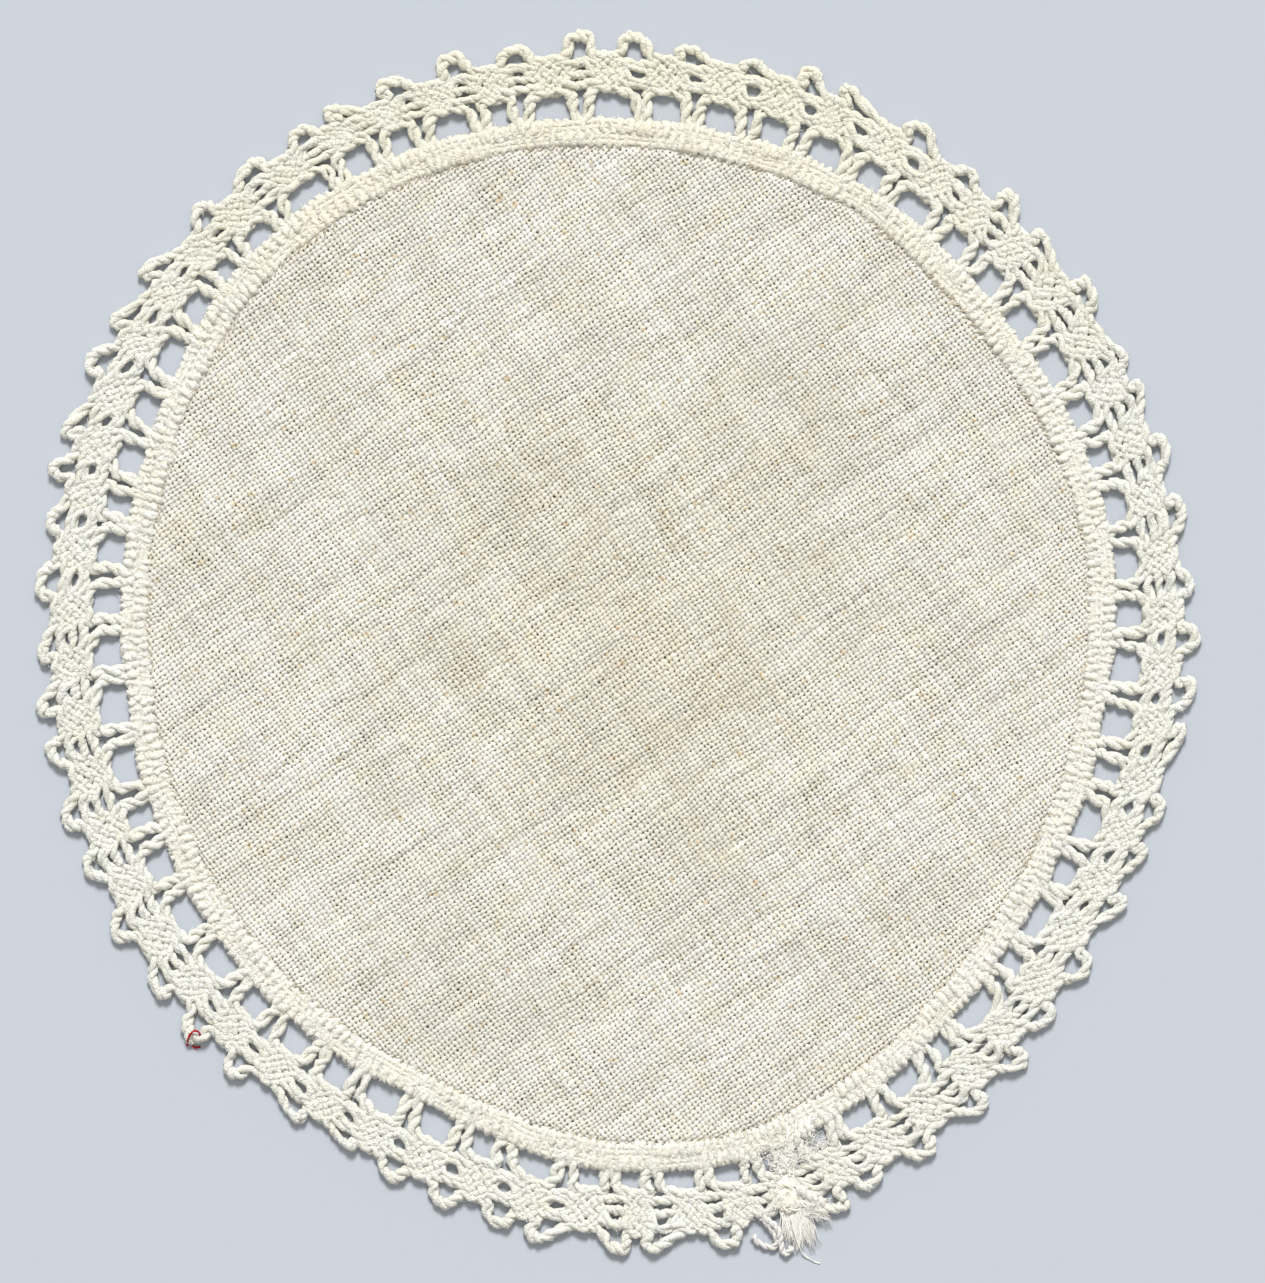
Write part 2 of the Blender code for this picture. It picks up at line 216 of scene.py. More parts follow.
def lay(repeat, out, height, plump=1.0):
    """A point in millimetres, with how plump the thread is there."""
    radii = radii_at(repeat)
    side = max(i for i in range(4) if i == 0 or MARKS[i] <= out)
    part = (out - MARKS[side]) / (MARKS[side + 1] - MARKS[side])
    radius = radii[side] + (radii[side + 1] - radii[side]) * part
    if out > MARKS[3]:
        picot = round(repeat + 0.5) % REPEATS
        radius += REACHES[picot] * (out - MARKS[3]) / (MARKS[4] - MARKS[3])
    x, y = polar(opening_angle(repeat) + lean_at(repeat, out), radius)
    shift = noise.noise_vector(Vector((x / SMALL_WAVE, y / SMALL_WAVE, 0.3))) * WOBBLE
    shift += noise.noise_vector(Vector((x / LARGE_WAVE, y / LARGE_WAVE, 8.1))) * 1.4 * WOBBLE
    swell = 1 + 0.16 * noise.noise(Vector((x / 0.8, y / 0.8, height)))
    return x + shift.x, y + shift.y, height, plump * swell


STRAY = 0.17                             # how far one thread wanders from its own way


def slack(spot, thread, step):
    """Lets a point of one thread stray a little from its way, and swells or thins it there."""
    stray = noise.noise_vector(Vector((step * 0.31, thread * 5.3, 2.0))) * STRAY
    swell = 1 + 0.36 * noise.noise(Vector((step * 0.23, thread * 3.7, 9.0)))
    return spot[0] + stray.x, spot[1] + stray.y, spot[2] + stray.z * 0.7, spot[3] * swell


print("a picot's tip, mm:", [round(v, 2) for v in lay(-0.5, MARKS[4], 0.6)])

# %% [markdown]
# ## Threads
# A thread is a line with a round section. A Blender curve with a bevel is the natural way to
# draw one: each point has its own radius, so the thread can swell and thin. The curve is turned
# into a mesh, its end caps are welded on, and its UV map is stretched so that one unit along it
# is one millimetre of thread. The finish uses that for the twist of the plies.

# %% Make a mesh of threads
FUZZ = 0.055                             # how far the cotton's skin wanders, in millimetres
FLOOR_GAP = 0.02                         # the lowest threads rest this far up


def ruffle(shape, amount):
    """Moves the threads' skin in and out a little, since cotton is soft and lumpy."""
    for vert in shape.verts:
        place = vert.co / MM
        drift = noise.noise_vector(place / 0.45) + 0.8 * noise.noise_vector(place / 1.1)
        vert.co += drift * (amount * MM)
        vert.co.z = max(vert.co.z, FLOOR_GAP * MM)


def thread_mesh(name, threads, thick, steps=1, fuzz=FUZZ):
    """A mesh of round threads; bevel steps of 0, 1 and 2 give four, six and eight sides."""
    curve = bpy.data.curves.new(name, "CURVE")
    curve.dimensions, curve.bevel_depth = "3D", thick / 2 * MM
    curve.bevel_resolution, curve.use_fill_caps = steps, True
    for points in threads:
        spline = curve.splines.new("POLY")
        spline.points.add(len(points) - 1)
        spline.points.foreach_set("co", [v for x, y, z, _ in points for v in (x * MM, y * MM, z * MM, 1)])
        spline.points.foreach_set("radius", [plump for _, _, _, plump in points])
    helper = bpy.data.objects.new(name + "_line", curve)
    bpy.context.scene.collection.objects.link(helper)
    mesh = bpy.data.meshes.new_from_object(helper.evaluated_get(bpy.context.evaluated_depsgraph_get()))
    bpy.data.objects.remove(helper, do_unlink=True)
    measure_threads(mesh, threads, 4 + 2 * steps)
    shape = bmesh.new()
    shape.from_mesh(mesh)
    bmesh.ops.remove_doubles(shape, verts=shape.verts, dist=1e-7)
    ruffle(shape, fuzz)
    for face in shape.faces:
        face.smooth = True
    shape.to_mesh(mesh)
    shape.free()
    return mesh


def measure_threads(mesh, threads, sides):
    """Stretches the UV map so that u is the length along the thread in millimetres."""
    layer = mesh.uv_layers[0]
    flat = [0.0] * (2 * len(mesh.loops))
    layer.uv.foreach_get("vector", flat)
    loop = len(mesh.loops) - sum(4 * sides * (len(points) - 1) for points in threads)
    for points in threads:
        length = sum(math.dist(a[:3], b[:3]) for a, b in zip(points, points[1:]))
        count = 4 * sides * (len(points) - 1)
        for i in range(loop, loop + count):
            flat[2 * i] *= length
        loop += count
    layer.uv.foreach_set("vector", flat)


def thread_piece(name, threads, thick, steps, material, node, fuzz=FUZZ):
    """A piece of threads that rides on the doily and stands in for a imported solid."""
    mesh = thread_mesh(name, threads, thick, steps, fuzz)
    mesh.materials.clear()
    mesh.materials.append(material)
    piece = bpy.data.objects.new(name, mesh)
    bpy.context.scene.collection.objects.link(piece)
    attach(piece, "root")
    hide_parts(node)
    triangles = sum(len(face.vertices) - 2 for face in mesh.polygons)
    print(f"{name}: {len(threads)} threads, {triangles} triangles")
    return piece

# %% [markdown]
# ## Helpers for finishes
# A finish is a node tree. `put` adds any node and gives back one of its outputs as a wire. Wires
# can be added, multiplied and so on like numbers, and each such step adds a Math node. So a
# finish reads like the sum that it works out.

# %% Wires between nodes
class Wire:
    """An output of a node. Reckoning with it adds Math nodes to its tree."""

    def __init__(self, socket):
        self.socket, self.tree = socket, socket.id_data

    def math(self, operation, *others):
        """A Math node with this wire plugged in first, then the others."""
        return put(self.tree, "ShaderNodeMath", dict(enumerate((self, *others))), operation=operation)

    def __add__(self, other):
        return self.math("ADD", other)

    def __sub__(self, other):
        return self.math("SUBTRACT", other)

    def __rsub__(self, number):
        return put(self.tree, "ShaderNodeMath", {0: number, 1: self}, operation="SUBTRACT")

    def __mul__(self, other):
        return self.math("MULTIPLY", other)

    def __truediv__(self, other):
        return self.math("DIVIDE", other)

    def __pow__(self, other):
        return self.math("POWER", other)

    def __mod__(self, other):
        return self.math("FLOORED_MODULO", other)

    def __gt__(self, other):
        return self.math("GREATER_THAN", other)

    def __abs__(self):
        return self.math("ABSOLUTE")


def put(tree, kind, plugs=None, out=0, **settings):
    """Adds a node with its settings; a plug is a wire or a plain value. Gives back an output."""
    made = tree.nodes.new(kind)
    for key, value in settings.items():
        setattr(made, key, value)
    for key, value in (plugs or {}).items():
        if isinstance(value, Wire):
            tree.links.new(value.socket, made.inputs[key])
        else:
            made.inputs[key].default_value = value
    return Wire(made.outputs[out])

# %% Helpers for finishes
def axis_of(place, axis):
    """One coordinate of a place: 0, 1 or 2 for x, y or z."""
    return put(place.tree, "ShaderNodeSeparateXYZ", {0: place}, axis)


def noisy(place, waves, detail):
    """Noise from 0 to 1 with so many waves in a metre, or in one unit of the place."""
    return put(place.tree, "ShaderNodeTexNoise", {"Vector": place, "Scale": waves, "Detail": detail})


def ramp(value, low, high, first=0.0, last=1.0):
    """Goes from first to last as the value goes from low to high, and stays there beyond."""
    return put(value.tree, "ShaderNodeMapRange", {"Value": value, 1: low, 2: high, 3: first, 4: last})


def blend_colours(part, first, second, how="MIX"):
    """The first colour where the part is 0 and the second, or their product, where it is 1."""
    tree = next(given.tree for given in (part, first, second) if isinstance(given, Wire))
    return put(tree, "ShaderNodeMix", {0: part, 6: first, 7: second}, 2,
               data_type="RGBA", blend_type=how)


def dress(shader, tone, height=None, relief=0.0):
    """Gives a shader its tone and, with a height, a bump as deep as the relief in millimetres."""
    tone.tree.links.new(tone.socket, shader.inputs["Base Color"])
    if height is not None:
        bump = put(tone.tree, "ShaderNodeBump", {"Height": height, "Distance": relief * MM, "Strength": 1.0})
        tone.tree.links.new(bump.socket, shader.inputs["Normal"])


def paint(red, green, blue):
    """A colour as a paint chart gives it, from 0 to 255, turned into Blender's linear values."""
    def linear(value):
        value /= 255
        return value / 12.92 if value <= 0.04045 else ((value + 0.055) / 1.055) ** 2.4
    return linear(red), linear(green), linear(blue), 1.0


def new_finish(name, roughness, fluff=0.0):
    """A matt material that lets a little light in, as thread does; fluff is its sheen."""
    material = bpy.data.materials.new(name)
    material.use_nodes = True
    shader = material.node_tree.nodes["Principled BSDF"]
    shader.inputs["Roughness"].default_value = roughness
    shader.inputs["Specular IOR Level"].default_value = 0.15
    shader.inputs["Sheen Weight"].default_value = fluff
    shader.inputs["Sheen Roughness"].default_value = 0.6
    shader.inputs["Subsurface Radius"].default_value = (1.0, 0.9, 0.75)
    shader.inputs["Subsurface Scale"].default_value = 0.35 * MM
    return material, material.node_tree, shader


print("half grey in linear light:", round(paint(128, 128, 128)[0], 3))

# %% [markdown]
# ## The cotton's finish
# The lace thread is a soft two-ply cotton. Up close its plies and the wisps of fibre between them
# show as slanting ridges, with painted shade in the grooves, and loose fibres make it uneven. The
# ridges follow the thread, so they read its UV map. The slow changes, where the thread has yellowed
# and where painted shade darkens the low parts between the threads, read the place on the doily
# instead.

# %% The cotton's finish
YELLOWED = paint(255, 252, 244)          # what age has added at the top side of the doily


def cotton(name, light, shade, turn=1.3, ridge=0.15, mottled=0.80, deepest_shade=0.80):
    """Twisted cotton: a ply goes round in `turn` millimetres, and painted shade darkens the low parts."""
    material, tree, shader = new_finish(name, 0.95, fluff=0.40)
    shader.inputs["Subsurface Weight"].default_value = 0.35
    uv, place = put(tree, "ShaderNodeTexCoord", out=2), put(tree, "ShaderNodeTexCoord", out=3)
    twist = (axis_of(uv, 0) / turn + axis_of(uv, 1)) * (2 * math.pi)
    ply = abs(twist.math("SINE"))
    fibres = noisy(place, 4200.0, 2.0)
    wisps = (twist * 5.0 + noisy(place, 1500.0, 2.0) * 16.0).math("SINE")
    tone = blend_colours(ramp(noisy(place, 260.0, 3.0), 0.3, 0.7), light, shade)
    aged = ramp(axis_of(place, 1), 30 * MM, 72 * MM)
    tone = blend_colours(aged, tone, YELLOWED, "MULTIPLY")
    # painted shade: the lower a spot lies among the threads, the darker its tone
    low_shade = ramp(axis_of(place, 2), 0.30 * MM, 1.0 * MM, deepest_shade, 1.0)
    # painted shade in the grooves between the plies and between the wisps
    groove_shade = ramp(ply, 0.0, 0.6, 0.94, 1.0) * ramp(wisps, -1.0, 0.4, 0.90, 1.0)
    # random mottle of the fibres, times the painted shade of the low parts
    mottle_and_low_shade = ramp(fibres, 0.36, 0.62, mottled, 1.0) * low_shade
    tone = blend_colours(1.0, tone, groove_shade * mottle_and_low_shade, "MULTIPLY")
    dress(shader, tone, ply * 0.2 + fibres * 1.6 + wisps * 0.16, ridge)
    return material


# the last number is how dark the painted shade makes the lowest parts of the threads
HEAD_COTTON = cotton("cream_cotton", paint(254, 254, 244), paint(249, 247, 232),
                     mottled=0.80, deepest_shade=0.83)
TAPE_COTTON = cotton("warm_cotton", paint(255, 252, 240), paint(255, 249, 231),
                     ridge=0.12, mottled=0.87, deepest_shade=0.95)
print("finishes:", [m.name for m in (HEAD_COTTON, TAPE_COTTON)])

# %% [markdown]
# ## A block of the head
# The head is the decorative outer part of the lace. Twelve threads make it, and in each diamond
# block six of them slant outwards and six slant inwards, woven over and under like cloth. A
# thread that slants out through one block slants back in through the next. `block_way` gives
# the way of one thread through a block as along, out and height.

# %% One thread's way through a block
THREAD = 0.78                            # thickness of the cotton
CROSSING = 0.67                          # from one thread to the next in a block
BLOCK_MIDDLE = 9.35                      # the middle of the blocks, out from the seam
MIDDLE_HEIGHT = 0.72                     # and over the floor
LIFT = 0.25                              # how far a thread rises over, or dips under, another
PAIRED = 0.08                            # how far the two threads of a pair draw together
LAST = 5                                 # number of the last of the six crossings
CORNER = LAST * CROSSING / math.sqrt(2)
SWELL = 0.35                             # how much a diamond's sides bulge


def spaced(number):
    """Where a crossing lies along a thread's way through a block."""
    return (number - LAST / 2) * CROSSING + PAIRED * math.cos(math.pi * number)


def rounded(along, out):
    """Swells a diamond's sides a little, as a real block is between a diamond and a square."""
    return (along * (1 + SWELL * abs(out) / CORNER), out * (1 + SWELL * abs(along) / CORNER))


def block_way(thread, outward):
    """One thread's points in a block, at each crossing and halfway to the next."""
    way = []
    for half_step in range(2 * LAST + 1):
        crossing = half_step / 2
        travelled, own = spaced(crossing), spaced(thread) if outward else -spaced(thread)
        slant = (own, travelled) if outward else (travelled, own)
        spot = rounded((slant[0] + slant[1]) / math.sqrt(2), (slant[1] - slant[0]) / math.sqrt(2))
        met = LAST - crossing if outward else crossing
        over = (1 if (thread + met) % 2 == 0 else -1) * (1 if outward else -1)
        way.append((*spot, LIFT * over if half_step % 2 == 0 else 0.0))
    return way


print("where a thread enters a block:", tuple(round(v, 2) for v in block_way(0, True)[0]))

# %% [markdown]
# ## Between the blocks
# Between two blocks the threads go in pairs, twisted round each other. The outermost pair runs
# out into a picot, the small loop on the edge. The innermost pair runs in as a bar to the tape,
# and two such bars meet there. The others go straight across, and leave a slit or two at the
# middle. Each pair follows a centre line, and its two threads turn about it like a rope's.

# %% The centre lines between two blocks
Gap = namedtuple("Gap", "line turns steps spread")


def corner_pair(first, outward):
    """The middle of a pair of neighbouring threads as they leave a block."""
    ends = [block_way(thread, outward)[-1] for thread in (first, first + 1)]
    return ((ends[0][0] + ends[1][0]) / 2, (ends[0][1] + ends[1][1]) / 2)


def there_and_back(line):
    """The other half of a centre line that is the same on both sides of the gap."""
    return line + [(PITCH - along, out) for along, out in line[-2::-1]]


OUTWARD_GAPS = (                         # the picot, then the two pairs beside it
    Gap(there_and_back([corner_pair(0, True), (1.1, 2.1), (1.85, 2.2), (2.2, 2.6), (2.25, 3.15),
                        (2.45, 3.6), (2.95, 3.98), (3.65, 4.1)]), 3.5, 28, 0.33),
    Gap(there_and_back([corner_pair(2, True), (2.2, 1.22), (3.65, 1.18)]), 1.5, 12, 0.26),
    Gap(there_and_back([corner_pair(4, True), (2.75, 0.64), (3.65, 0.70)]), 0.5, 6, 0.22),
)
INWARD_GAPS = (                          # two pairs, then the bar
    Gap(there_and_back([corner_pair(0, False), (2.75, -0.64), (3.65, -0.70)]), 0.5, 6, 0.22),
    Gap(there_and_back([corner_pair(2, False), (2.2, -1.20), (3.65, -1.14)]), 1.5, 12, 0.26),
    Gap(there_and_back([corner_pair(4, False), (1.15, -2.15), (2.05, -2.2), (2.6, -2.5),
                        (2.82, -3.05), (2.87, -3.7), (2.89, -4.5), (2.98, -5.4), (3.15, -6.2),
                        (3.4, -6.9), (3.65, -7.2)]), 4.0, 28, 0.43),
)


FINE_STEPS = 12                          # short straight bits in each part of a smooth curve


def resampled(line, steps):
    """Points at even spaces along a smooth curve through the line's points."""
    fine = []
    padded = [line[0], *line, line[-1]]
    for i in range(len(line) - 1):
        for part in range(FINE_STEPS):
            corners = padded[i:i + 4]
            fine.append(tuple(smooth(*values, part / FINE_STEPS) for values in zip(*corners)))
    fine.append(tuple(line[-1]))
    walked = [0.0]
    for a, b in zip(fine, fine[1:]):
        walked.append(walked[-1] + math.dist(a, b))
    points, at = [], 0
    for step in range(steps + 1):
        wanted = walked[-1] * step / steps
        while at < len(fine) - 2 and walked[at + 1] < wanted:
            at += 1
        part = (wanted - walked[at]) / (walked[at + 1] - walked[at])
        points.append(tuple(a + (b - a) * part for a, b in zip(fine[at], fine[at + 1])))
    return points


print("the way out to a picot and back, in points:", len(resampled(OUTWARD_GAPS[0].line, 28)))

# %% One thread of a twisted pair
def twisted(points, turn, turns, spread, rise, seed=0.0, hurry=0.0):
    """A thread that turns about a line of points, now faster and now slower if there is hurry."""
    last, way = len(points) - 1, []
    for step, spot in enumerate(points):
        before, after = points[max(step - 1, 0)], points[min(step + 1, last)]
        run, climb = after[0] - before[0], after[1] - before[1]
        reach = math.hypot(run, climb)
        now = turn + 2 * math.pi * turns * step / last
        uneven_twist = noise.noise(Vector((step / 4.0, seed, 0.5)))
        now += hurry * math.sin(math.pi * step / last) * uneven_twist
        across = spread * math.cos(now)
        way.append((spot[0] - climb / reach * across, spot[1] + run / reach * across, rise * math.sin(now)))
    return way


print("a pair's height at a quarter turn:", round(twisted([(0, 0), (1, 0), (2, 0)], 0, 0.5, 1, 1)[1][2], 2))

# %% Where a pair goes between two blocks
PAIR_RISE = 0.27                         # how high a pair's upper thread stands over its middle
PAIR_HURRY = 2.6                         # how unevenly the pairs are twisted
SINGLE_FROM, SINGLE_OVER = 2.2, 1.1      # how far out a pair is on its own, and how soon wholly
PLAIN_PICOT = 4.4                        # a picot's width in the even pattern
PLAIN_BAR, BAR_ROOM = 0.78, 0.85         # half the way between two bars, and the room beside them
TAPE_FROM, TAPE_OVER = 6.2, 1.5          # how far in the bars come together, and how soon
SLIT_HALF = 1.9                          # half the length of a gap's slits


def share(value):
    """The value, kept between 0 and 1."""
    return min(1.0, max(0.0, value))


def between_slits(gap, block):
    """Whether a pair crosses this gap alone, with a slit on either side of it."""
    two_slits = uneven(block, 63) > 0
    return two_slits and gap.turns < 1 and (uneven(block, 64) > 0) == (gap in OUTWARD_GAPS)


def pushed(gap, block):
    """How far a pair moves over where the blocks nearly touch, to leave one slit there or two."""
    outward = 1 if gap in OUTWARD_GAPS else -1
    if uneven(block, 63) <= 0:
        return outward * abs(0.32 * uneven(block, 62))
    if between_slits(gap, block):
        return -0.64 * outward
    return (0.38 if gap.turns > 1 else 0.72) * outward


def gap_way(gap, side, block):
    """The way of one of a pair's two threads, side 0 or 1, from block to block."""
    following, points = (block + 1) % REPEATS, []
    start, end = OPENING_ENDS[block % REPEATS], PITCH + OPENING_STARTS[following]    # of the two bars
    turns, steps = (1.5, 12) if between_slits(gap, block) else (gap.turns, gap.steps)
    for along, out in resampled(gap.line, steps):
        single = share((abs(out) - SINGLE_FROM) / SINGLE_OVER)
        if out > 0:
            middle = PITCH / 2 + PUSHES[following]
            width = 0.5 + 0.5 * WIDTHS[following] / PLAIN_PICOT
        else:
            middle = (start + end) / 2
            width = min(1.5, max(0.35, ((end - start) / 2 - BAR_ROOM) / PLAIN_BAR))
            width = 1 + (width - 1) * share((TAPE_FROM + out) / TAPE_OVER)
        from_middle = along - PITCH / 2
        moved = middle + from_middle * width
        near = max(0.0, 1 - (from_middle / SLIT_HALF) ** 2) * (1 - single)
        out += near * (0.28 * uneven(block, 61) + pushed(gap, block))
        points.append((along + (moved - along) * single, out))
    seed = 1.7 * block + gap.spread
    return twisted(points, math.pi * side, turns, gap.spread, PAIR_RISE, seed, PAIR_HURRY)[1:-1]


print("points in a picot's thread:", len(gap_way(OUTWARD_GAPS[0], 0, 0)))

# %% [markdown]
# ## The head's twelve threads
# Each thread is followed the whole way round, from the join back to the join: through a block,
# over a gap, through the next block. Where a pair has turned a half turn too many, its threads
# have changed places. They are made as two pieces, since each stays lighter that way.

# %% The head
JOIN = 27                                # the block that the join takes the place of
IN_BLOCK, IN_PICOT, IN_BAR = 1.10, 1.20, 1.22      # plumpness: a thread swells where it has room
PAST_BLOCK = 2.5                         # further than this from the blocks' middle, it has room


def head_thread(start, outward_first):
    """One of the head's twelve threads, from the join round to the join again."""
    points, thread, outward = [], start, outward_first
    for block in range(JOIN, JOIN + REPEATS + 1):
        way = block_way(thread, outward)
        gap = (OUTWARD_GAPS if outward else INWARD_GAPS)[thread // 2]
        if block == JOIN + REPEATS:
            way = way[:LAST + 1]
        elif block == JOIN and outward and thread < 2:
            way = []                     # the loose loops take the place of this picot
        else:
            way = way[LAST:] if block == JOIN else way
            way += gap_way(gap, thread % 2, block)
        for along, out, height in way:
            plump = IN_BAR if out < -PAST_BLOCK else IN_PICOT if out > PAST_BLOCK else IN_BLOCK
            spot = lay(block + along / PITCH, BLOCK_MIDDLE + out, MIDDLE_HEIGHT + height, plump)
            points.append(slack(spot, start + 6 * outward_first, len(points)))
        if gap.turns % 1:
            thread = thread + 1 - 2 * (thread % 2)
        outward = not outward
    return points


head_pieces = [
    thread_piece(f"head_threads_{name}", [head_thread(thread, outward) for thread in range(6)],
                 THREAD, 2, HEAD_COTTON, "lace_edging", fuzz=0.12)
    for name, outward in (("out_first", True), ("in_first", False))
]

# %% [markdown]
# ## The tape
# The straight inner side of the lace is a firm tape, and it is what the needlewoman sewed to the
# linen. A pair of working threads goes to and fro across it, six times in a repeat, round cords
# that run lengthwise. From above it shows two rows of fat stitches with a line of small beads
# between them.

# %% The tape
ROWS = 383                               # stitches all the way round
STITCH = 0.68                            # thickness of a working thread
PAIR_SPREAD = 0.17                       # half the way between the two threads of the pair
PAIR_TWIST = 2.37                        # full turns of the pair in a row
TAPE_MIDDLE = 1.66                       # the line of beads, out from the seam
TAPE_WIDE = 3.4                          # from the seam to the tape's outer side
TAPE_PITCH = 6.5                         # length of a repeat along the tape, in millimetres
CORD_HEIGHT = 0.94                       # the lengthwise cords' middles, over the floor
STITCH_WAY = (                           # part of a row, out from the seam, height, plumpness
    (-0.02, 3.34, 0.55, 0.90), (0.00, 3.28, 0.80, 1.10), (0.05, 2.95, 0.99, 1.38), (0.12, 2.48, 0.95, 1.12),
    (0.20, 2.02, 1.00, 1.38), (0.30, 1.66, 0.88, 0.90), (0.40, 1.28, 1.00, 1.38), (0.47, 0.84, 0.95, 1.12),
    (0.54, 0.38, 0.99, 1.38), (0.58, 0.04, 0.80, 1.10), (0.60, -0.10, 0.55, 0.90), (0.66, 0.30, 0.32, 0.80),
    (0.80, 1.68, 0.32, 0.80), (0.94, 3.02, 0.32, 0.80),
)


def slant_at(repeat):
    """How far the stitches slant along the tape, in millimetres, from its outer to its inner side."""
    return 0.6 * noise.noise(Vector((repeat / 3.1, 4.2, 0.0))) + 0.05


def working_thread(side):
    """One thread of the working pair: over the tape, under it and on to the next row."""
    points = []
    for row in range(ROWS):
        drift = 0.07 * noise.noise(Vector((row / 9.0, 1.3, 0.0)))
        for part, out, height, plump in STITCH_WAY:
            outer = out > TAPE_MIDDLE
            repeat = JOIN + (row + part) * REPEATS / ROWS + drift
            top = share((height - 0.6) / 0.5)
            twist = math.pi * side + 2 * math.pi * PAIR_TWIST * (row + part)
            across = PAIR_SPREAD * math.cos(twist)
            across += (slant_at(repeat) + 0.55 * uneven(row, 3 + outer)) * (out / TAPE_WIDE - 0.5) * top
            across += 0.30 * uneven(row, 7 + outer) * top
            reach = out + 0.16 * uneven(row, 9 + outer) * (out - TAPE_MIDDLE) / (TAPE_WIDE / 2)
            rise = PAIR_SPREAD * math.sin(twist) * top + 0.05 * uneven(row, 21 + outer) * top
            size = plump * (1 + 0.18 * uneven(row, 12 + outer))
            spot = lay(repeat + across / TAPE_PITCH, reach, height + rise, size)
            points.append(slack(spot, 20 + side, len(points)))
    return points


def lengthwise_cord(out, wave=0.0):
    """A cord that the working pair goes round, now over and now under it if it waves."""
    return [lay(JOIN + step / (2 * ROWS) * REPEATS, out, CORD_HEIGHT + wave * (1 if step % 2 else -1))
            for step in range(2 * ROWS + 1)]


tape_pieces = [
    thread_piece("tape_stitches", [working_thread(side) for side in (0, 1)],
                 STITCH, 2, TAPE_COTTON, "lace_edging", fuzz=0.15),
    thread_piece("tape_cords", [lengthwise_cord(out) for out in (0.42, 1.05, 2.27, 2.90)]
                 + [lengthwise_cord(TAPE_MIDDLE, 0.10)],
                 0.80, 1, TAPE_COTTON, "lace_edging", fuzz=0.09),
]

# %% [markdown]
# ## The linen
# The middle is one flat piece of cloth. It is modelled as a thin closed sheet: a disc, inset
# again and again into rings, bent to the seam's outline and given its thickness. It lies almost
# flat, with the slight swells that washing leaves. How near a spot is to the seam is kept as an
# attribute, so that the finish can stain the edge that the stitches pull in, and paint light and
# the tape's shadow on it.

# %% The linen sheet
LINEN_RINGS = 56
LINEN_SIDES = REPEATS * 4
LINEN_TOP = 0.80                         # its upper side, over the floor, before the swells
LINEN_THICK = 0.62
EDGE_RISE = 0.24                         # how much the stitches lift its edge
SHORT_OF_SEAM = 0.02                     # its edge ends this far inside the seam, under the stitches
PULLED_IN = 1.6                          # how far from the seam the stitches still pull at the cloth


def swell_at(x, y):
    """The slow swells that washing leaves: broad ones, small ones and folds along one way."""
    broad = 0.22 * noise.noise(Vector((x / 11, y / 11, 1.7))) + 0.06 * noise.noise(Vector((x / 4, y / 4, 5)))
    folds = noise.noise(Vector(((0.82 * x + 0.57 * y) / 16, (0.82 * y - 0.57 * x) / 4.5, 3.1)))
    return broad + 0.16 * folds


def linen_mesh():
    """A disc of many rings, bent to the seam's outline and given its thickness."""
    shape = bmesh.new()
    bmesh.ops.create_circle(shape, cap_ends=True, segments=LINEN_SIDES, radius=1.0)
    for _ in range(LINEN_RINGS - 1):
        middle = max(shape.faces, key=lambda face: len(face.verts))
        bmesh.ops.inset_region(shape, faces=[middle], thickness=1 / LINEN_RINGS,
                               use_boundary=True, use_even_offset=True)
    middle = max(shape.faces, key=lambda face: len(face.verts))
    bmesh.ops.poke(shape, faces=[middle])
    near_seam = shape.verts.layers.float.new("near_seam")
    for vert in shape.verts:
        part = min(1.0, vert.co.xy.length)
        repeat = (-math.atan2(vert.co.y, vert.co.x) / (2 * math.pi)) % 1 * REPEATS
        rim = radius_of("seam", repeat) - SHORT_OF_SEAM
        x, y = polar(opening_angle(repeat), rim * part)
        vert[near_seam] = max(0.0, 1 - rim * (1 - part) / PULLED_IN)
        lifted = EDGE_RISE * vert[near_seam] ** 2
        swell = swell_at(x, y) * min(1, 6 * (1 - part)) + lifted
        vert.co = Vector((x * MM, y * MM, (LINEN_TOP + swell) * MM))
    bmesh.ops.recalc_face_normals(shape, faces=shape.faces)
    if sum(face.normal.z for face in shape.faces) < 0:
        bmesh.ops.reverse_faces(shape, faces=shape.faces)
    bmesh.ops.solidify(shape, geom=shape.faces[:], thickness=LINEN_THICK * MM)
    mesh = bpy.data.meshes.new("linen_cloth")
    shape.to_mesh(mesh)
    shape.free()
    mesh.polygons.foreach_set("use_smooth", [True] * len(mesh.polygons))
    return mesh


linen = bpy.data.objects.new("linen_cloth", linen_mesh())
bpy.context.scene.collection.objects.link(linen)
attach(linen, "root")
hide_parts("linen_round")
heights = [vert.co.z / MM for vert in linen.data.vertices]
print("linen faces:", len(linen.data.polygons))
print("linen height, mm:", round(min(heights), 2), "to", round(max(heights), 2))

# %% [markdown]
# ## The linen's finish
# The linen has far too many threads to model one by one in a light piece, so the weave is drawn
# by the finish. Two sets of threads cross at right angles, on the slant. For each spot the tree
# works out how high each of the two threads stands: its own round section, plus the wave it
# makes as it goes over and under. The higher one shows. Low spots get painted shade, and where
# neither covers there is a pinhole, painted dark as the shade seen through it. The same height
# drives the bump.
#
# Flax is spun uneven and this cloth is old, so more lies over the weave: yarns that are warmer or
# duller all along, pale slubs, soft creases, worn patches and brown specks of straw. The middle
# has yellowed, and the edge is blotched where the stitches pull it in. The edge also has painted
# light near the seam and painted shadow of the tape, darker towards the top side.

# %% Two sets of threads
WARP_WAY = (0.577, -0.817)               # across the first set of threads
WEFT_WAY = (0.819, 0.574)                # across the second
WARP_PITCH, WEFT_PITCH = 0.583, 0.612    # from one thread to the next, in millimetres
WAVE = 0.38                              # how much a thread rises and dips, beside its round top
SLOW_DRIFT, QUICK_DRIFT = (90.0, 2.4), (800.0, 1.05)     # waves in a metre, and how far, in threads


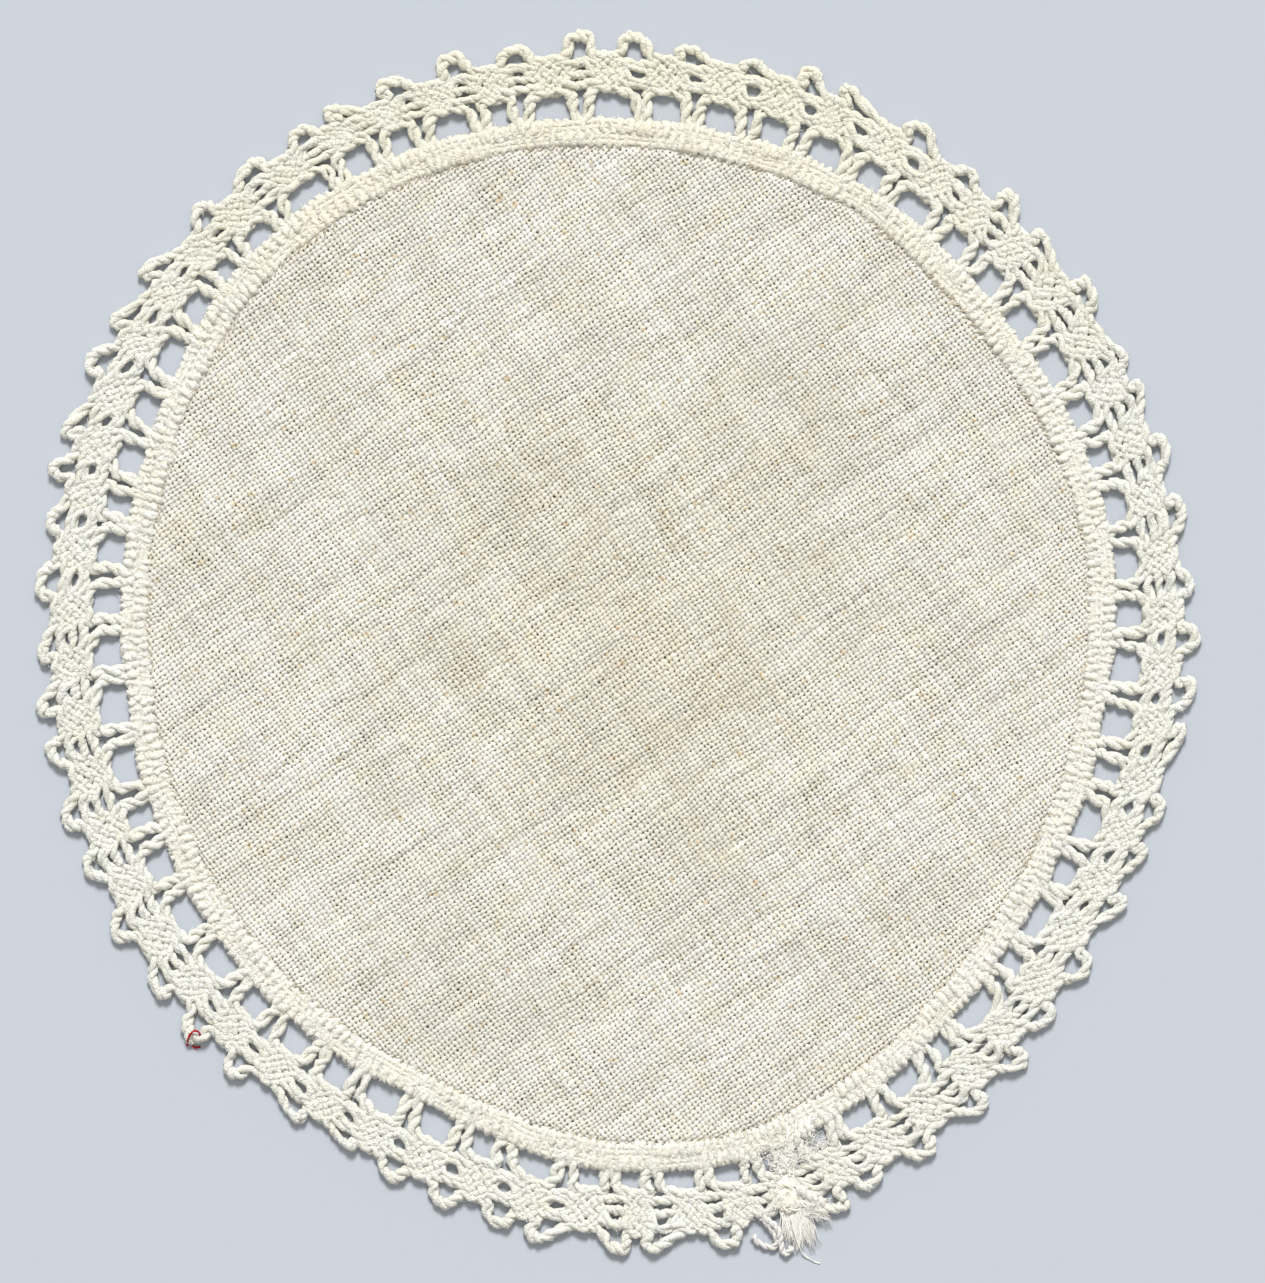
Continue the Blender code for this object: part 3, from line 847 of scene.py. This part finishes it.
def across_threads(place, way, pitch, waver=0.0):
    """How many threads of one set lie between the middle and this spot."""
    step = (way[0] / pitch / MM, way[1] / pitch / MM, 0.0)
    count = put(place.tree, "ShaderNodeVectorMath", {0: place, 1: step}, 1, operation="DOT_PRODUCT")
    return count + waver


def wavering(place, seed, waves, amount):
    """A smooth drift, to either side, that keeps the threads from lying like ruled lines."""
    plugs = {"Vector": place, "W": seed, "Scale": waves, "Detail": 1.0}
    return (put(place.tree, "ShaderNodeTexNoise", plugs, noise_dimensions="4D") - 0.5) * amount


def lone_value(number, seed):
    """A value from 0 to 1 that belongs to one thread, or to one crossing."""
    return put(number.tree, "ShaderNodeTexWhiteNoise", {"W": number + seed}, noise_dimensions="1D")


def thread_height(own, other, sign, width):
    """The height of one thread: its rounded section and its wave over and under the others."""
    rounded_top = (1.0 - (own / width) ** 2.0) * 0.5
    wave = (other * math.pi).math("COSINE") * sign
    return rounded_top + wave * WAVE


print("threads in a centimetre:", round(10 / WARP_PITCH, 1), "by", round(10 / WEFT_PITCH, 1))

# %% Noise that follows the yarns
YARN_APART = 7.31                        # noise steps from one yarn to the next: nothing in common
YARN_CHANGE = 0.05                       # noise steps along a yarn, for each thread that it crosses
FIBRES_ACROSS, FIBRES_ALONG = 3.6, 1.1   # the same steps for the fibres within a yarn


def noise_at(across, along, seed, detail):
    """Noise in yarn terms: which yarn it is, how far along it, and a seed."""
    return noisy(put(across.tree, "ShaderNodeCombineXYZ", {0: across, 1: along, 2: seed}), 1.0, detail)


def yarn(number, along, seed):
    """How thick one thread is along its way, from about 0.3 to 0.7: linen is spun uneven."""
    return noise_at(number * YARN_APART, along * YARN_CHANGE, seed, 3.0)


def streaks(own, along, seed):
    """The fibres that show along one set of threads."""
    return noise_at(own * FIBRES_ACROSS, along * FIBRES_ALONG, seed, 2.0)


def stretched(place, along, across, detail):
    """Slow noise with so many waves in a metre along and across one set of threads."""
    return noise_at(across_threads(place, WEFT_WAY, 1 / MM / along),
                    across_threads(place, WARP_WAY, 1 / MM / across), along, detail)


def pick(shows, first, second):
    """The first set's value where its thread shows, and the second set's elsewhere."""
    return put(shows.tree, "ShaderNodeMix", {0: shows, 2: second, 3: first}, 0, data_type="FLOAT")


print("a yarn's thickness changes over about", round(WARP_PITCH / YARN_CHANGE), "mm")

# %% The plain weave
Weave = namedtuple("Weave", "counts numbers inside yarns crossing height shows")


def crossing_number(numbers):
    """One number for each crossing, so that it can have a size and a tone of its own."""
    return numbers[0] * 17.3 + numbers[1] * 5.71


def plain_weave(place):
    """Which threads cross here, how far inside each of them the spot is, and which one shows."""
    drifts = [wavering(place, seed, *SLOW_DRIFT) + wavering(place, seed + 2.0, *QUICK_DRIFT)
              for seed in (1.0, 2.0)]
    counts = [across_threads(place, WARP_WAY, WARP_PITCH, drifts[0]),
              across_threads(place, WEFT_WAY, WEFT_PITCH, drifts[1])]
    numbers = [count.math("FLOOR") for count in counts]
    inside = [count.math("FRACT") - 0.5 for count in counts]
    odd = (numbers[0] + numbers[1]) % 2.0
    sign = 1.0 - odd * 2.0
    crossing = crossing_number(numbers)
    bead_size = ramp(lone_value(crossing, 8.4), 0.0, 1.0, -0.05, 0.05)
    yarns = [yarn(numbers[i], counts[1 - i], 3.7 * i) for i in (0, 1)]
    widths = [ramp(yarn_there, 0.32, 0.68, 0.44, 0.58) + bead_size for yarn_there in yarns]
    first = thread_height(inside[0], inside[1], sign, widths[0])
    second = thread_height(inside[1], inside[0], sign * -1.0, widths[1])
    height = first.math("SMOOTH_MAX", second, 0.06)
    return Weave(counts, numbers, inside, yarns, crossing, height, first > second)


def open_side(own, yarn_there, openness):
    """1 near the side of a thread where it is thin enough to leave a gap, and 0 elsewhere."""
    return ramp(yarn_there, 0.33, 0.66, 0.21, 0.08) * openness > 0.5 - abs(own)


def pinholes(weave):
    """1 in the gaps between four beads, which are larger at some corners than at others."""
    corner = crossing_number([(count + 0.5).math("FLOOR") for count in weave.counts])
    openness = ramp(lone_value(corner, 3.3), 0.0, 1.0, 0.65, 1.2)
    first, second = [open_side(weave.inside[i], weave.yarns[i], openness) for i in (0, 1)]
    return first * second


print("what the weave knows at each spot:", ", ".join(Weave._fields))

# %% The yarns' tones
DULL_YARN, PALE_YARN = paint(246, 242, 229), paint(255, 255, 249)
DULL_BEAD, WARM_YARN = paint(210, 205, 190), paint(243, 229, 197)


def along_yarns(weave, each, along, seed):
    """Noise for both sets that differs from yarn to yarn and goes on for a long way along them."""
    return [yarn(weave.numbers[i] * each, weave.counts[1 - i] * along, seed + i) for i in (0, 1)]


def yarn_tones(weave, fibres):
    """Pale ecru that changes from yarn to yarn, from bead to bead and along each fibre."""
    thick = pick(weave.shows, *[ramp(yarn_there, 0.3, 0.7) for yarn_there in weave.yarns])
    tone = blend_colours(thick, DULL_YARN, PALE_YARN)
    tone = blend_colours(lone_value(weave.crossing, 2.2) * 0.28, tone, DULL_BEAD)
    warm = pick(weave.shows, *along_yarns(weave, 2.3, 0.7, 17.0))
    tone = blend_colours(ramp(warm, 0.50, 0.72, 0.0, 0.50), tone, WARM_YARN)
    tone = blend_colours(1.0, tone, ramp(fibres, 0.34, 0.60, 0.84, 1.0), "MULTIPLY")
    warp, weft = along_yarns(weave, 1.7, 0.45, 9.0)
    long_tones = (ramp(warp, 0.34, 0.64, 0.79, 1.05), ramp(weft, 0.32, 0.64, 0.81, 1.03))
    return blend_colours(1.0, tone, pick(weave.shows, *long_tones), "MULTIPLY")


print("a pale yarn's colour:", [round(v, 2) for v in PALE_YARN[:3]])

# %% Wear and age
WORN, CREASE_SHADE, SLUB = paint(211, 206, 191), paint(188, 178, 160), paint(252, 248, 236)
STRAW, CLOUD = paint(202, 173, 114), (1.0, 0.985, 0.935, 1.0)
# painted light for the seam, and its brown stain, which also carries painted shadow of the tape
SEAM_PAINTED_LIGHT, SEAM_STAIN_AND_SHADOW = paint(252, 248, 240), paint(172, 146, 112)
YELLOWED_MIDDLE = (0.950, 0.927, 0.866, 1.0)       # the middle has yellowed more than the rest
AGED_MIDDLE, AGED_REACH = (2 * MM, 3 * MM, 0.0), 44 * MM


def soft_creases(place):
    """1 along lines that wander with the threads, fading to 0 away from them."""
    off_line = abs(stretched(place, 55.0, 150.0, 3.0) - 0.5)
    return ramp(off_line, 0.0, 0.10, 1.0, 0.0) ** 2.0


def worn(tone, place, creases):
    """Duller patches and creases, pale slubs, specks of straw and warmer clouds."""
    patches = stretched(place, 34.0, 105.0, 4.0) + stretched(place, 105.0, 34.0, 4.0)
    tone = blend_colours(ramp(patches, 0.94, 1.26, 0.0, 0.46), tone, WORN)
    tone = blend_colours(creases * 0.12, tone, CREASE_SHADE)
    slubs = stretched(place, 120.0, 420.0, 2.0)
    tone = blend_colours(ramp(slubs, 0.62, 0.74, 0.0, 0.55), tone, SLUB)
    tone = blend_colours(ramp(noisy(place, 950.0, 1.0), 0.69, 0.75, 0.0, 0.55), tone, STRAW)
    return blend_colours(ramp(noisy(place, 230.0, 3.0), 0.48, 0.70), tone, CLOUD, "MULTIPLY")


def seam_and_middle(tone, place):
    """Painted light makes the seam paler against the tape's shade. Brown blotches of stain and painted shadow
    of the tape grow stronger towards the top side. The middle is yellowed.
    """
    seam = put(place.tree, "ShaderNodeAttribute", {}, 2, attribute_name="near_seam")
    blotches = ramp(noisy(place, 650.0, 2.0), 0.46, 0.62, 0.0, 0.55)
    # painted shadow of the tape: the blotches grow towards the top side, where the tape stands between the
    # light and the linen
    stain_and_top_shadow = ramp(axis_of(place, 1), -50 * MM, 50 * MM, 0.08, 0.42)
    # painted light: paler near the seam, against the shade that the tape casts
    tone = blend_colours(seam * 0.25, tone, SEAM_PAINTED_LIGHT)
    tone = blend_colours(seam ** 2.0 * blotches * stain_and_top_shadow, tone, SEAM_STAIN_AND_SHADOW)
    away = put(place.tree, "ShaderNodeVectorMath", {0: place, 1: AGED_MIDDLE}, 1, operation="DISTANCE")
    return blend_colours(ramp(away, 0.0, AGED_REACH, 1.0, 0.0), tone, YELLOWED_MIDDLE, "MULTIPLY")


print("the middle's blue, beside its red:", round(YELLOWED_MIDDLE[2] / YELLOWED_MIDDLE[0], 2))

# %% The linen's finish
# painted shade: the dark of the shadowed floor seen through the pinholes
PINHOLE_SHADE = paint(44, 35, 24)
LINEN_RELIEF = 0.27                      # the height of a bead, in millimetres


def linen_finish():
    """The weave, then its tones and its wear, painted shade where it lies low and in its pinholes, and a bump
    from the same heights.
    """
    material, tree, shader = new_finish("plain_linen", 0.9)
    place = put(tree, "ShaderNodeTexCoord", out=3)
    weave, creases = plain_weave(place), soft_creases(place)
    both_sets = [streaks(weave.counts[i], weave.counts[1 - i], 5.1 * i) for i in (0, 1)]
    fibres = pick(weave.shows, *both_sets)
    tone = worn(yarn_tones(weave, fibres), place, creases)
    tone = seam_and_middle(tone, place)
    # painted shade: darker where the weave lies low, between the beads
    tone = blend_colours(1.0, tone, ramp(weave.height, 0.12, 0.48, 0.66, 1.0), "MULTIPLY")
    # the pinholes are painted dark, as the shade under the cloth seen through them
    tone = blend_colours(pinholes(weave) * 0.93, tone, PINHOLE_SHADE)
    dress(shader, tone, weave.height + fibres * 0.35 - creases * 0.50, LINEN_RELIEF)
    return material


linen.data.materials.clear()
linen.data.materials.append(linen_finish())
print("linen finish nodes:", len(linen.active_material.node_tree.nodes))

# %% [markdown]
# ## Fluff
# Cotton is never clean at its edge: short hairs stand off every thread and lie over it. Fifteen
# thousand very thin ones, each of only two straight bits, soften the lace's outline and its gaps.

# %% Hairs on the lace
HEAD_HAIRS = 8600
TAPE_HAIRS = 6400
hairs = Random(3)                        # the chance in where each hair stands and how it lies


def hair(thread, radius):
    """A short hair that leaves the thread's upper side, lies over it and curls down again."""
    at = hairs.randrange(3, len(thread) - 6)
    x, y, z, plump = thread[at]
    side, rise = hairs.uniform(0, 2 * math.pi), hairs.uniform(0.0, 1.8)
    away = Vector((math.cos(side), math.sin(side), rise)).normalized()
    grain = (Vector(thread[at + 2][:3]) - Vector((x, y, z))).normalized()
    way = (grain * hairs.uniform(-1, 1) + away.cross(grain) * hairs.uniform(-0.9, 0.9)).normalized()
    lift = hairs.uniform(-0.2, 0.3) if hairs.random() < 0.85 else 0.9
    spot, points = Vector((x, y, z)) + away * (radius * plump), []
    for step in range(3):
        points.append((spot.x, spot.y, max(0.05, spot.z), 1.1 - 0.3 * step))
        spot = spot + (way + away * (lift - 0.4 * step)).normalized() * hairs.uniform(0.18, 0.38)
    return points


def fibre_finish():
    """Single fibres are nearly clear: they stay bright and glow a little at their edges."""
    material, tree, shader = new_finish("cotton_fibres", 0.9, fluff=1.0)
    along = noisy(put(tree, "ShaderNodeTexCoord", out=2), 3.0, 1.0)
    dress(shader, blend_colours(ramp(along, 0.3, 0.7), paint(246, 243, 233), paint(253, 251, 244)))
    return material


FIBRES = fibre_finish()
head_ways = [head_thread(thread, first) for thread in range(6) for first in (True, False)]
tape_ways = [working_thread(side) for side in (0, 1)]
fluff_pieces = [
    thread_piece(name, [hair(hairs.choice(ways), radius) for _ in range(count)], thick, 0, FIBRES,
                 "lace_edging", fuzz=0.0)
    for name, ways, count, radius, thick in (("head_fluff", head_ways, HEAD_HAIRS, 0.38, 0.055),
                                             ("tape_fluff", tape_ways, TAPE_HAIRS, 0.36, 0.065))
]

# %% [markdown]
# ## The seam
# The strip is whipped to the linen with a fine sewing thread. Each stitch comes up through the
# linen a little inside the edge, slants over it and goes down through the tape. They are a
# hand's stitches: no two are as long as each other, and many have sunk between the threads and
# no longer show. Those are left out.

# %% The seam's stitches
SEAM_STITCHES = 316
REPEAT_AT_SEAM = 6.4                     # one repeat's length along the seam, in millimetres
SUNK = 0.35                              # a stitch whose uneven number is over this is left out
SEAM_COTTON = cotton("sewing_thread", paint(240, 232, 212), paint(216, 198, 168), 0.6, 0.03)


def seam_stitch(number):
    """One slanting stitch, from inside the linen's edge over it and down through the tape."""
    start = JOIN + number * REPEATS / SEAM_STITCHES + 0.03 * uneven(number, 51)
    deep = 0.16 * uneven(number, 52)
    way = ((0.00, -0.72 - deep, 0.62), (0.10, -0.62 - deep, 0.92), (0.42, -0.30, 1.06), (0.70, -0.02, 1.22),
           (0.86, 0.24, 1.30), (0.92, 0.46, 0.95))
    return [lay(start + along / REPEAT_AT_SEAM, out, height, 1.0) for along, out, height in way]


seam_ways = [seam_stitch(number) for number in range(SEAM_STITCHES) if uneven(number, 54) < SUNK]
seam_piece = thread_piece("seam_stitches", seam_ways, 0.15, 1, SEAM_COTTON, "lace_edging", fuzz=0.02)
print("seam stitches that show:", len(seam_ways), "of", SEAM_STITCHES)

# %% [markdown]
# ## The join
# The strip's two ends meet at the lower right. They were drawn together and tied in one lump of
# a knot. Two loose loops hang where a picot should be, and beyond the knot the thread ends have
# frayed into a fan of single fibres. The join is made in the flat, in millimetres from the
# middle of the doily, since it no longer follows the pattern.

# %% Helpers for the join
TUFT_COTTON = cotton("frayed_cotton", paint(254, 249, 236), paint(249, 240, 220), 1.1, 0.06, 0.9)
LOOSE_COTTON = cotton("loose_cotton", paint(252, 250, 244), paint(244, 241, 233), 0.9, 0.08)

hand = Random(7)                         # the chance in how each loose fibre lies


def rope(line, steps, turns, spread, strands=2, plump=1.0):
    """Strands twisted together along a line of (x, y, height) points."""
    points = resampled(line, steps)
    ropes = []
    for strand in range(strands):
        way = twisted(points, 2 * math.pi * strand / strands, turns, spread, spread)
        ropes.append([(x, y, spot[2] + rise, plump) for (x, y, rise), spot in zip(way, points)])
    return ropes


def fibre(start, end, curl, points=8, thin=1.0, seed=None):
    """A loose fibre from one place to another. Fibres with nearly the same seed curl alike."""
    seed = hand.uniform(0, 90) if seed is None else seed
    way = []
    for step in range(points):
        part = step / (points - 1)
        stray = noise.noise_vector(Vector((part * 2.2 * curl, seed, 0.0))) * curl * min(1.0, 3 * part)
        spot = [a + (b - a) * part for a, b in zip(start, end)]
        height = spot[2] + 0.14 * math.sin(math.pi * part) + 0.2 * stray.z
        way.append((spot[0] + stray.x, spot[1] + stray.y, max(0.08, height), thin * (1.1 - 0.5 * part)))
    return way


print("a rope of", len(rope([(0, 0, 0), (1, 0, 0), (2, 0, 0)], 6, 1, 0.2)), "strands")

# %% The knot
KNOT = (21.45, -70.15)                   # the knot's middle, in millimetres from the doily's
KNOT_SIZE = (1.65, 2.2, 0.80)            # half its width, length and height
KNOT_HEIGHT = 0.88                       # its middle, over the floor


def knot_mesh():
    """A ball squeezed to a lump, drawn into folds that run out from its middle."""
    shape = bmesh.new()
    bmesh.ops.create_icosphere(shape, subdivisions=5, radius=1.0)
    for vert in shape.verts:
        x, y, z = vert.co
        turn = math.atan2(y, x)
        flat = math.hypot(x, y)
        folds = 0.018 * math.sin(9 * turn + 2.5 * noise.noise(Vector((x * 1.3, y * 1.3, 4)))) * flat
        lumps = 0.14 * noise.noise(Vector((x * 1.6, y * 1.6, z * 1.6)))
        lumps += 0.05 * noise.noise(Vector((x * 4, y * 4, z * 4)))
        waist = 1 - 0.10 * math.exp(-((y - 0.42) / 0.16) ** 2)
        size = (1 + folds + lumps) * waist
        vert.co = Vector(((KNOT[0] + x * KNOT_SIZE[0] * size) * MM, (KNOT[1] + y * KNOT_SIZE[1] * size) * MM,
                          max(FLOOR_GAP, KNOT_HEIGHT + z * KNOT_SIZE[2] * size) * MM))
    for face in shape.faces:
        face.smooth = True
    mesh = bpy.data.meshes.new("join_knot")
    shape.to_mesh(mesh)
    shape.free()
    return mesh


def knot_finish():
    """Strands that run out from the knot's middle, drawn by the angle round it, with painted shade in the
    hollows between them.
    """
    material, tree, shader = new_finish("knotted_cotton", 0.95, fluff=0.25)
    place = put(tree, "ShaderNodeTexCoord", out=3)
    from_knot = put(tree, "ShaderNodeVectorMath", {0: place, 1: (KNOT[0] * MM, KNOT[1] * MM, 0.0)},
                    operation="SUBTRACT")
    turn = axis_of(from_knot, 1).math("ARCTAN2", axis_of(from_knot, 0))
    strands = (turn * 22.0 + noisy(place, 1500.0, 3.0) * 14.0).math("SINE")
    # painted shade: the tone is darker where the strands' bump is low
    tone = blend_colours(ramp(strands, -1.0, 0.6), paint(251, 242, 223), paint(255, 250, 238))
    dress(shader, tone, strands * 0.3 + noisy(place, 3300.0, 3.0), 0.07)
    return material


knot = bpy.data.objects.new("join_knot", knot_mesh())
bpy.context.scene.collection.objects.link(knot)
knot.data.materials.append(knot_finish())
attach(knot, "root")
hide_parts("join_tuft")
print("knot faces:", len(knot.data.polygons))

# %% The loose loops and the thread that ties the knot
LOOP_A = [(17.7, -72.2, 0.9), (18.8, -73.4, 1.15), (19.8, -74.2, 1.2), (20.4, -75.2, 1.1), (20.6, -76.6, 0.8),
          (20.95, -77.8, 0.6), (21.6, -77.6, 0.6), (22.0, -77.0, 0.7)]
LOOP_B = [(17.1, -75.5, 0.8), (17.7, -76.4, 0.6), (18.7, -76.9, 0.5), (19.75, -77.0, 0.5), (20.1, -76.4, 0.6),
          (19.75, -75.3, 0.8), (18.9, -74.1, 0.9), (18.1, -73.2, 0.9)]
TIE = [(20.0, -68.9, 0.7), (20.9, -69.1, 1.55), (22.0, -69.2, 1.55), (22.9, -69.0, 0.9)]
TO_PICOT = [(22.4, -69.4, 1.3), (23.4, -69.9, 1.2), (24.3, -70.6, 1.1), (25.2, -71.0, 0.9),
            (26.2, -71.4, 0.8)]
WRAP = [(20.3, -71.6, 0.5), (20.9, -72.1, 1.3), (21.8, -72.3, 1.45), (22.7, -72.0, 1.1), (23.1, -71.5, 0.6)]
join_pieces = [
    knot,
    thread_piece("join_loops",
                 rope(LOOP_A, 40, 4.5, 0.19) + rope(LOOP_B, 40, 3.5, 0.18)
                 + rope(TO_PICOT, 22, 2.5, 0.33, plump=1.35),
                 0.52, 2, LOOSE_COTTON, "join_tuft", fuzz=0.05),
    thread_piece("join_ties", rope(TIE, 20, 1.5, 0.13) + rope(WRAP, 24, 2.0, 0.18),
                 0.26, 2, TUFT_COTTON, "join_tuft", fuzz=0.03),
]

# %% The frayed fibres
def spread_over(low, high):
    """A place anywhere in the box between two corners."""
    return [hand.uniform(a, b) for a, b in zip(low, high)]


def fan(locks, each):
    """Locks of fibres that run out of the knot towards the lower edge."""
    for _ in range(locks):
        side, long, seed = hand.random(), hand.uniform(0.7, 1.05), hand.uniform(0, 90)
        start = (20.9 + 2.7 * side, -71.2, 1.0)
        reach = (21.2 + 3.9 * side + hand.uniform(-0.4, 0.4), -77.2 + 0.9 * abs(side - 0.4), 0.5)
        for _ in range(each):
            first = [v + hand.uniform(-0.6, 0.6) for v in start[:2]] + [start[2] + hand.uniform(-0.15, 0.15)]
            gone = long * hand.uniform(0.8, 1.05)
            last = [a + (b - a) * gone + hand.uniform(-0.5, 0.5) for a, b in zip(start, reach)]
            last[2] = 0.5 + hand.uniform(-0.15, 0.15)
            yield fibre(first, last, 1.0, seed=seed + hand.uniform(-0.35, 0.35))


def lobe(count):
    """Short fibres that curl to the right of the knot, below the next picot."""
    for _ in range(count):
        start = spread_over((22.8, -72.2, 0.4), (24.2, -70.9, 1.5))
        end = spread_over((24.5, -73.8, 0.15), (27.1, -71.2, 1.3))
        yield fibre(start, end, 1.3)


def web(count, low, high, reach=1.7, depth=(0.15, 1.1), thin=1.0):
    """A tangle of fibres over a place, such as an opening."""
    for _ in range(count):
        start = spread_over((*low, depth[0]), (*high, depth[1]))
        end = [*(v + hand.uniform(-reach, reach) for v in start[:2]), hand.uniform(*depth)]
        yield fibre(start, end, 0.9, thin=thin)


FILAMENT = [(21.8, -73.0, 1.6), (22.3, -75.0, 1.3), (22.9, -76.8, 0.9), (23.6, -78.0, 0.4),
            (24.7, -78.8, 0.15), (25.6, -79.1, 0.1)]
STRAND = [(22.3, -66.4, 1.45), (22.2, -67.6, 1.55), (22.15, -68.8, 1.62), (22.2, -70.0, 1.70),
          (22.35, -71.2, 1.55)]
frayed = [
    *fan(26, 12), *lobe(170),
    *web(120, (22.8, -66.0), (26.8, -63.5)),                            # over the next opening
    *web(300, (19.7, -67.2), (22.1, -64.9), 1.0, (0.5, 1.5), 1.6),      # a cloud above the knot
    *web(50, (20.1, -72.0), (22.8, -68.6), 0.8, (1.3, 1.7)),            # on the knot itself
    *web(110, (13.5, -66.2), (25.0, -62.2), 0.9, (1.1, 1.7)),           # on the tape beside it
]
join_pieces += [
    thread_piece("join_fibres", frayed, 0.085, 0, FIBRES, "join_tuft", fuzz=0.0),
    thread_piece("join_filament", rope(FILAMENT, 40, 2.0, 0.05) + rope(STRAND, 20, 3.0, 0.05),
                 0.09, 1, FIBRES, "join_tuft", fuzz=0.0),
]
print("frayed fibres:", len(frayed))

# %% The stitches that have frayed
def frayed_stitch(number):
    """A whitish thread that strays over the seam near the join."""
    x, y = 21.1 + 3.1 * number / 13, -61.9 + 1.1 * number / 13
    start = (x + hand.uniform(-0.5, 0.5), y + hand.uniform(0.2, 1.6), 1.0)
    end = (x + hand.uniform(-0.6, 0.6), y - hand.uniform(0.8, 2.2), 1.35)
    return fibre(start, end, 0.5, 12, 2.3)


join_pieces.append(thread_piece("join_whip_ends", [frayed_stitch(number) for number in range(14)], 0.12, 1,
                                FIBRES, "join_tuft", fuzz=0.01))

# %% [markdown]
# ## A stray red thread
# Someone marked one picot at the lower left with a bit of red sewing thread. It was tied through
# the loop and snipped short.

# %% The red thread
RED_LOOP = [(-54.75, -51.45, 0.35), (-54.62, -50.75, 1.1), (-54.35, -50.0, 1.62), (-53.75, -49.5, 1.68),
            (-53.25, -49.65, 1.6), (-53.05, -50.05, 1.3)]
RED_END = [(-54.2, -51.4, 0.15), (-53.7, -51.7, 0.2), (-53.1, -51.6, 0.15)]


def red_finish():
    """Two dyed plies that wind round each other: their twist shades the thread and dents it."""
    material, tree, shader = new_finish("red_thread", 0.8)
    uv = put(tree, "ShaderNodeTexCoord", out=2)
    ply = ((axis_of(uv, 0) / 0.5 + axis_of(uv, 1)) * (4 * math.pi)).math("SINE")
    dress(shader, blend_colours(ramp(ply, -1.0, 1.0), paint(150, 22, 34), paint(206, 40, 52)), ply, 0.02)
    return material


red_piece = thread_piece("red_thread", rope(RED_LOOP, 24, 2.0, 0.06) + rope(RED_END, 10, 1.0, 0.05),
                         0.20, 1, red_finish(), "join_tuft", fuzz=0.01)

# %% [markdown]
# ## Cloth
# The linen is the one piece of cloth, and it lies flat. It and every thread of the lace, the seam
# and the join are parented to the same root.

# %% [markdown]
# ## Floor, light and camera
# The doily lies on a plain pale floor. One soft light slants down from the top side, as it does
# in a flatbed scanner, and an even sky fills the shadows. The camera looks straight down through
# a long lens, so there is hardly any perspective.

# %% Floor
FLOOR_SIDE = 3.0                         # in metres
floor = bpy.data.objects.new("floor", bpy.data.meshes.new("floor"))
shape = bmesh.new()
bmesh.ops.create_grid(shape, x_segments=1, y_segments=1, size=FLOOR_SIDE / 2)
shape.to_mesh(floor.data)
shape.free()
bpy.context.scene.collection.objects.link(floor)
material, _, shader = new_finish("pale_floor", 0.9)
shader.inputs["Base Color"].default_value = paint(187, 193, 201)
floor.data.materials.append(material)
floor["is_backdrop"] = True
print("floor, metres a side:", FLOOR_SIDE)

# %% Light
KEY_HEIGHT = 45.0                        # how high the light stands, in degrees
KEY_SIZE = 16.0                          # how wide it looks, in degrees: wide is soft
key = bpy.data.lights.new("key_light", "SUN")
key.energy, key.angle = 3.3, math.radians(KEY_SIZE)
key_holder = bpy.data.objects.new("key_light", key)
key_holder.rotation_euler = (math.radians(90 - KEY_HEIGHT), 0.0, math.radians(180))
bpy.context.scene.collection.objects.link(key_holder)
world = bpy.data.worlds.new("studio")
world.use_nodes = True
sky = world.node_tree.nodes["Background"]
sky.inputs["Color"].default_value = (1.0, 0.985, 0.965, 1.0)
sky.inputs["Strength"].default_value = 0.50
bpy.context.scene.world = world
bpy.context.scene.view_settings.view_transform = "Standard"
print("key light over sky:", round(key.energy / sky.inputs["Strength"].default_value, 1))

# %% Camera
PICTURE_TALL = 162.94 * MM               # how much of the floor the picture shows, from top to bottom
PICTURE_MIDDLE = (1.78 * MM, -0.13 * MM)
LENS, SENSOR = 250.0, 36.0               # in millimetres
camera = bpy.data.objects.new("camera", bpy.data.cameras.new("camera"))
camera.data.lens, camera.data.sensor_width = LENS, SENSOR
camera.location = (*PICTURE_MIDDLE, PICTURE_TALL * LENS / SENSOR)
camera.data.clip_start, camera.data.clip_end = 0.05, 10.0
bpy.context.scene.collection.objects.link(camera)
bpy.context.scene.camera = camera
print("camera height, metres:", round(camera.location.z, 3))

# %% Finish
doily_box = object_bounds()
[list(corner) for corner in (*cad_box, *doily_box)]
print("visual box, mm:", [[round(v / MM, 1) for v in corner] for corner in doily_box])
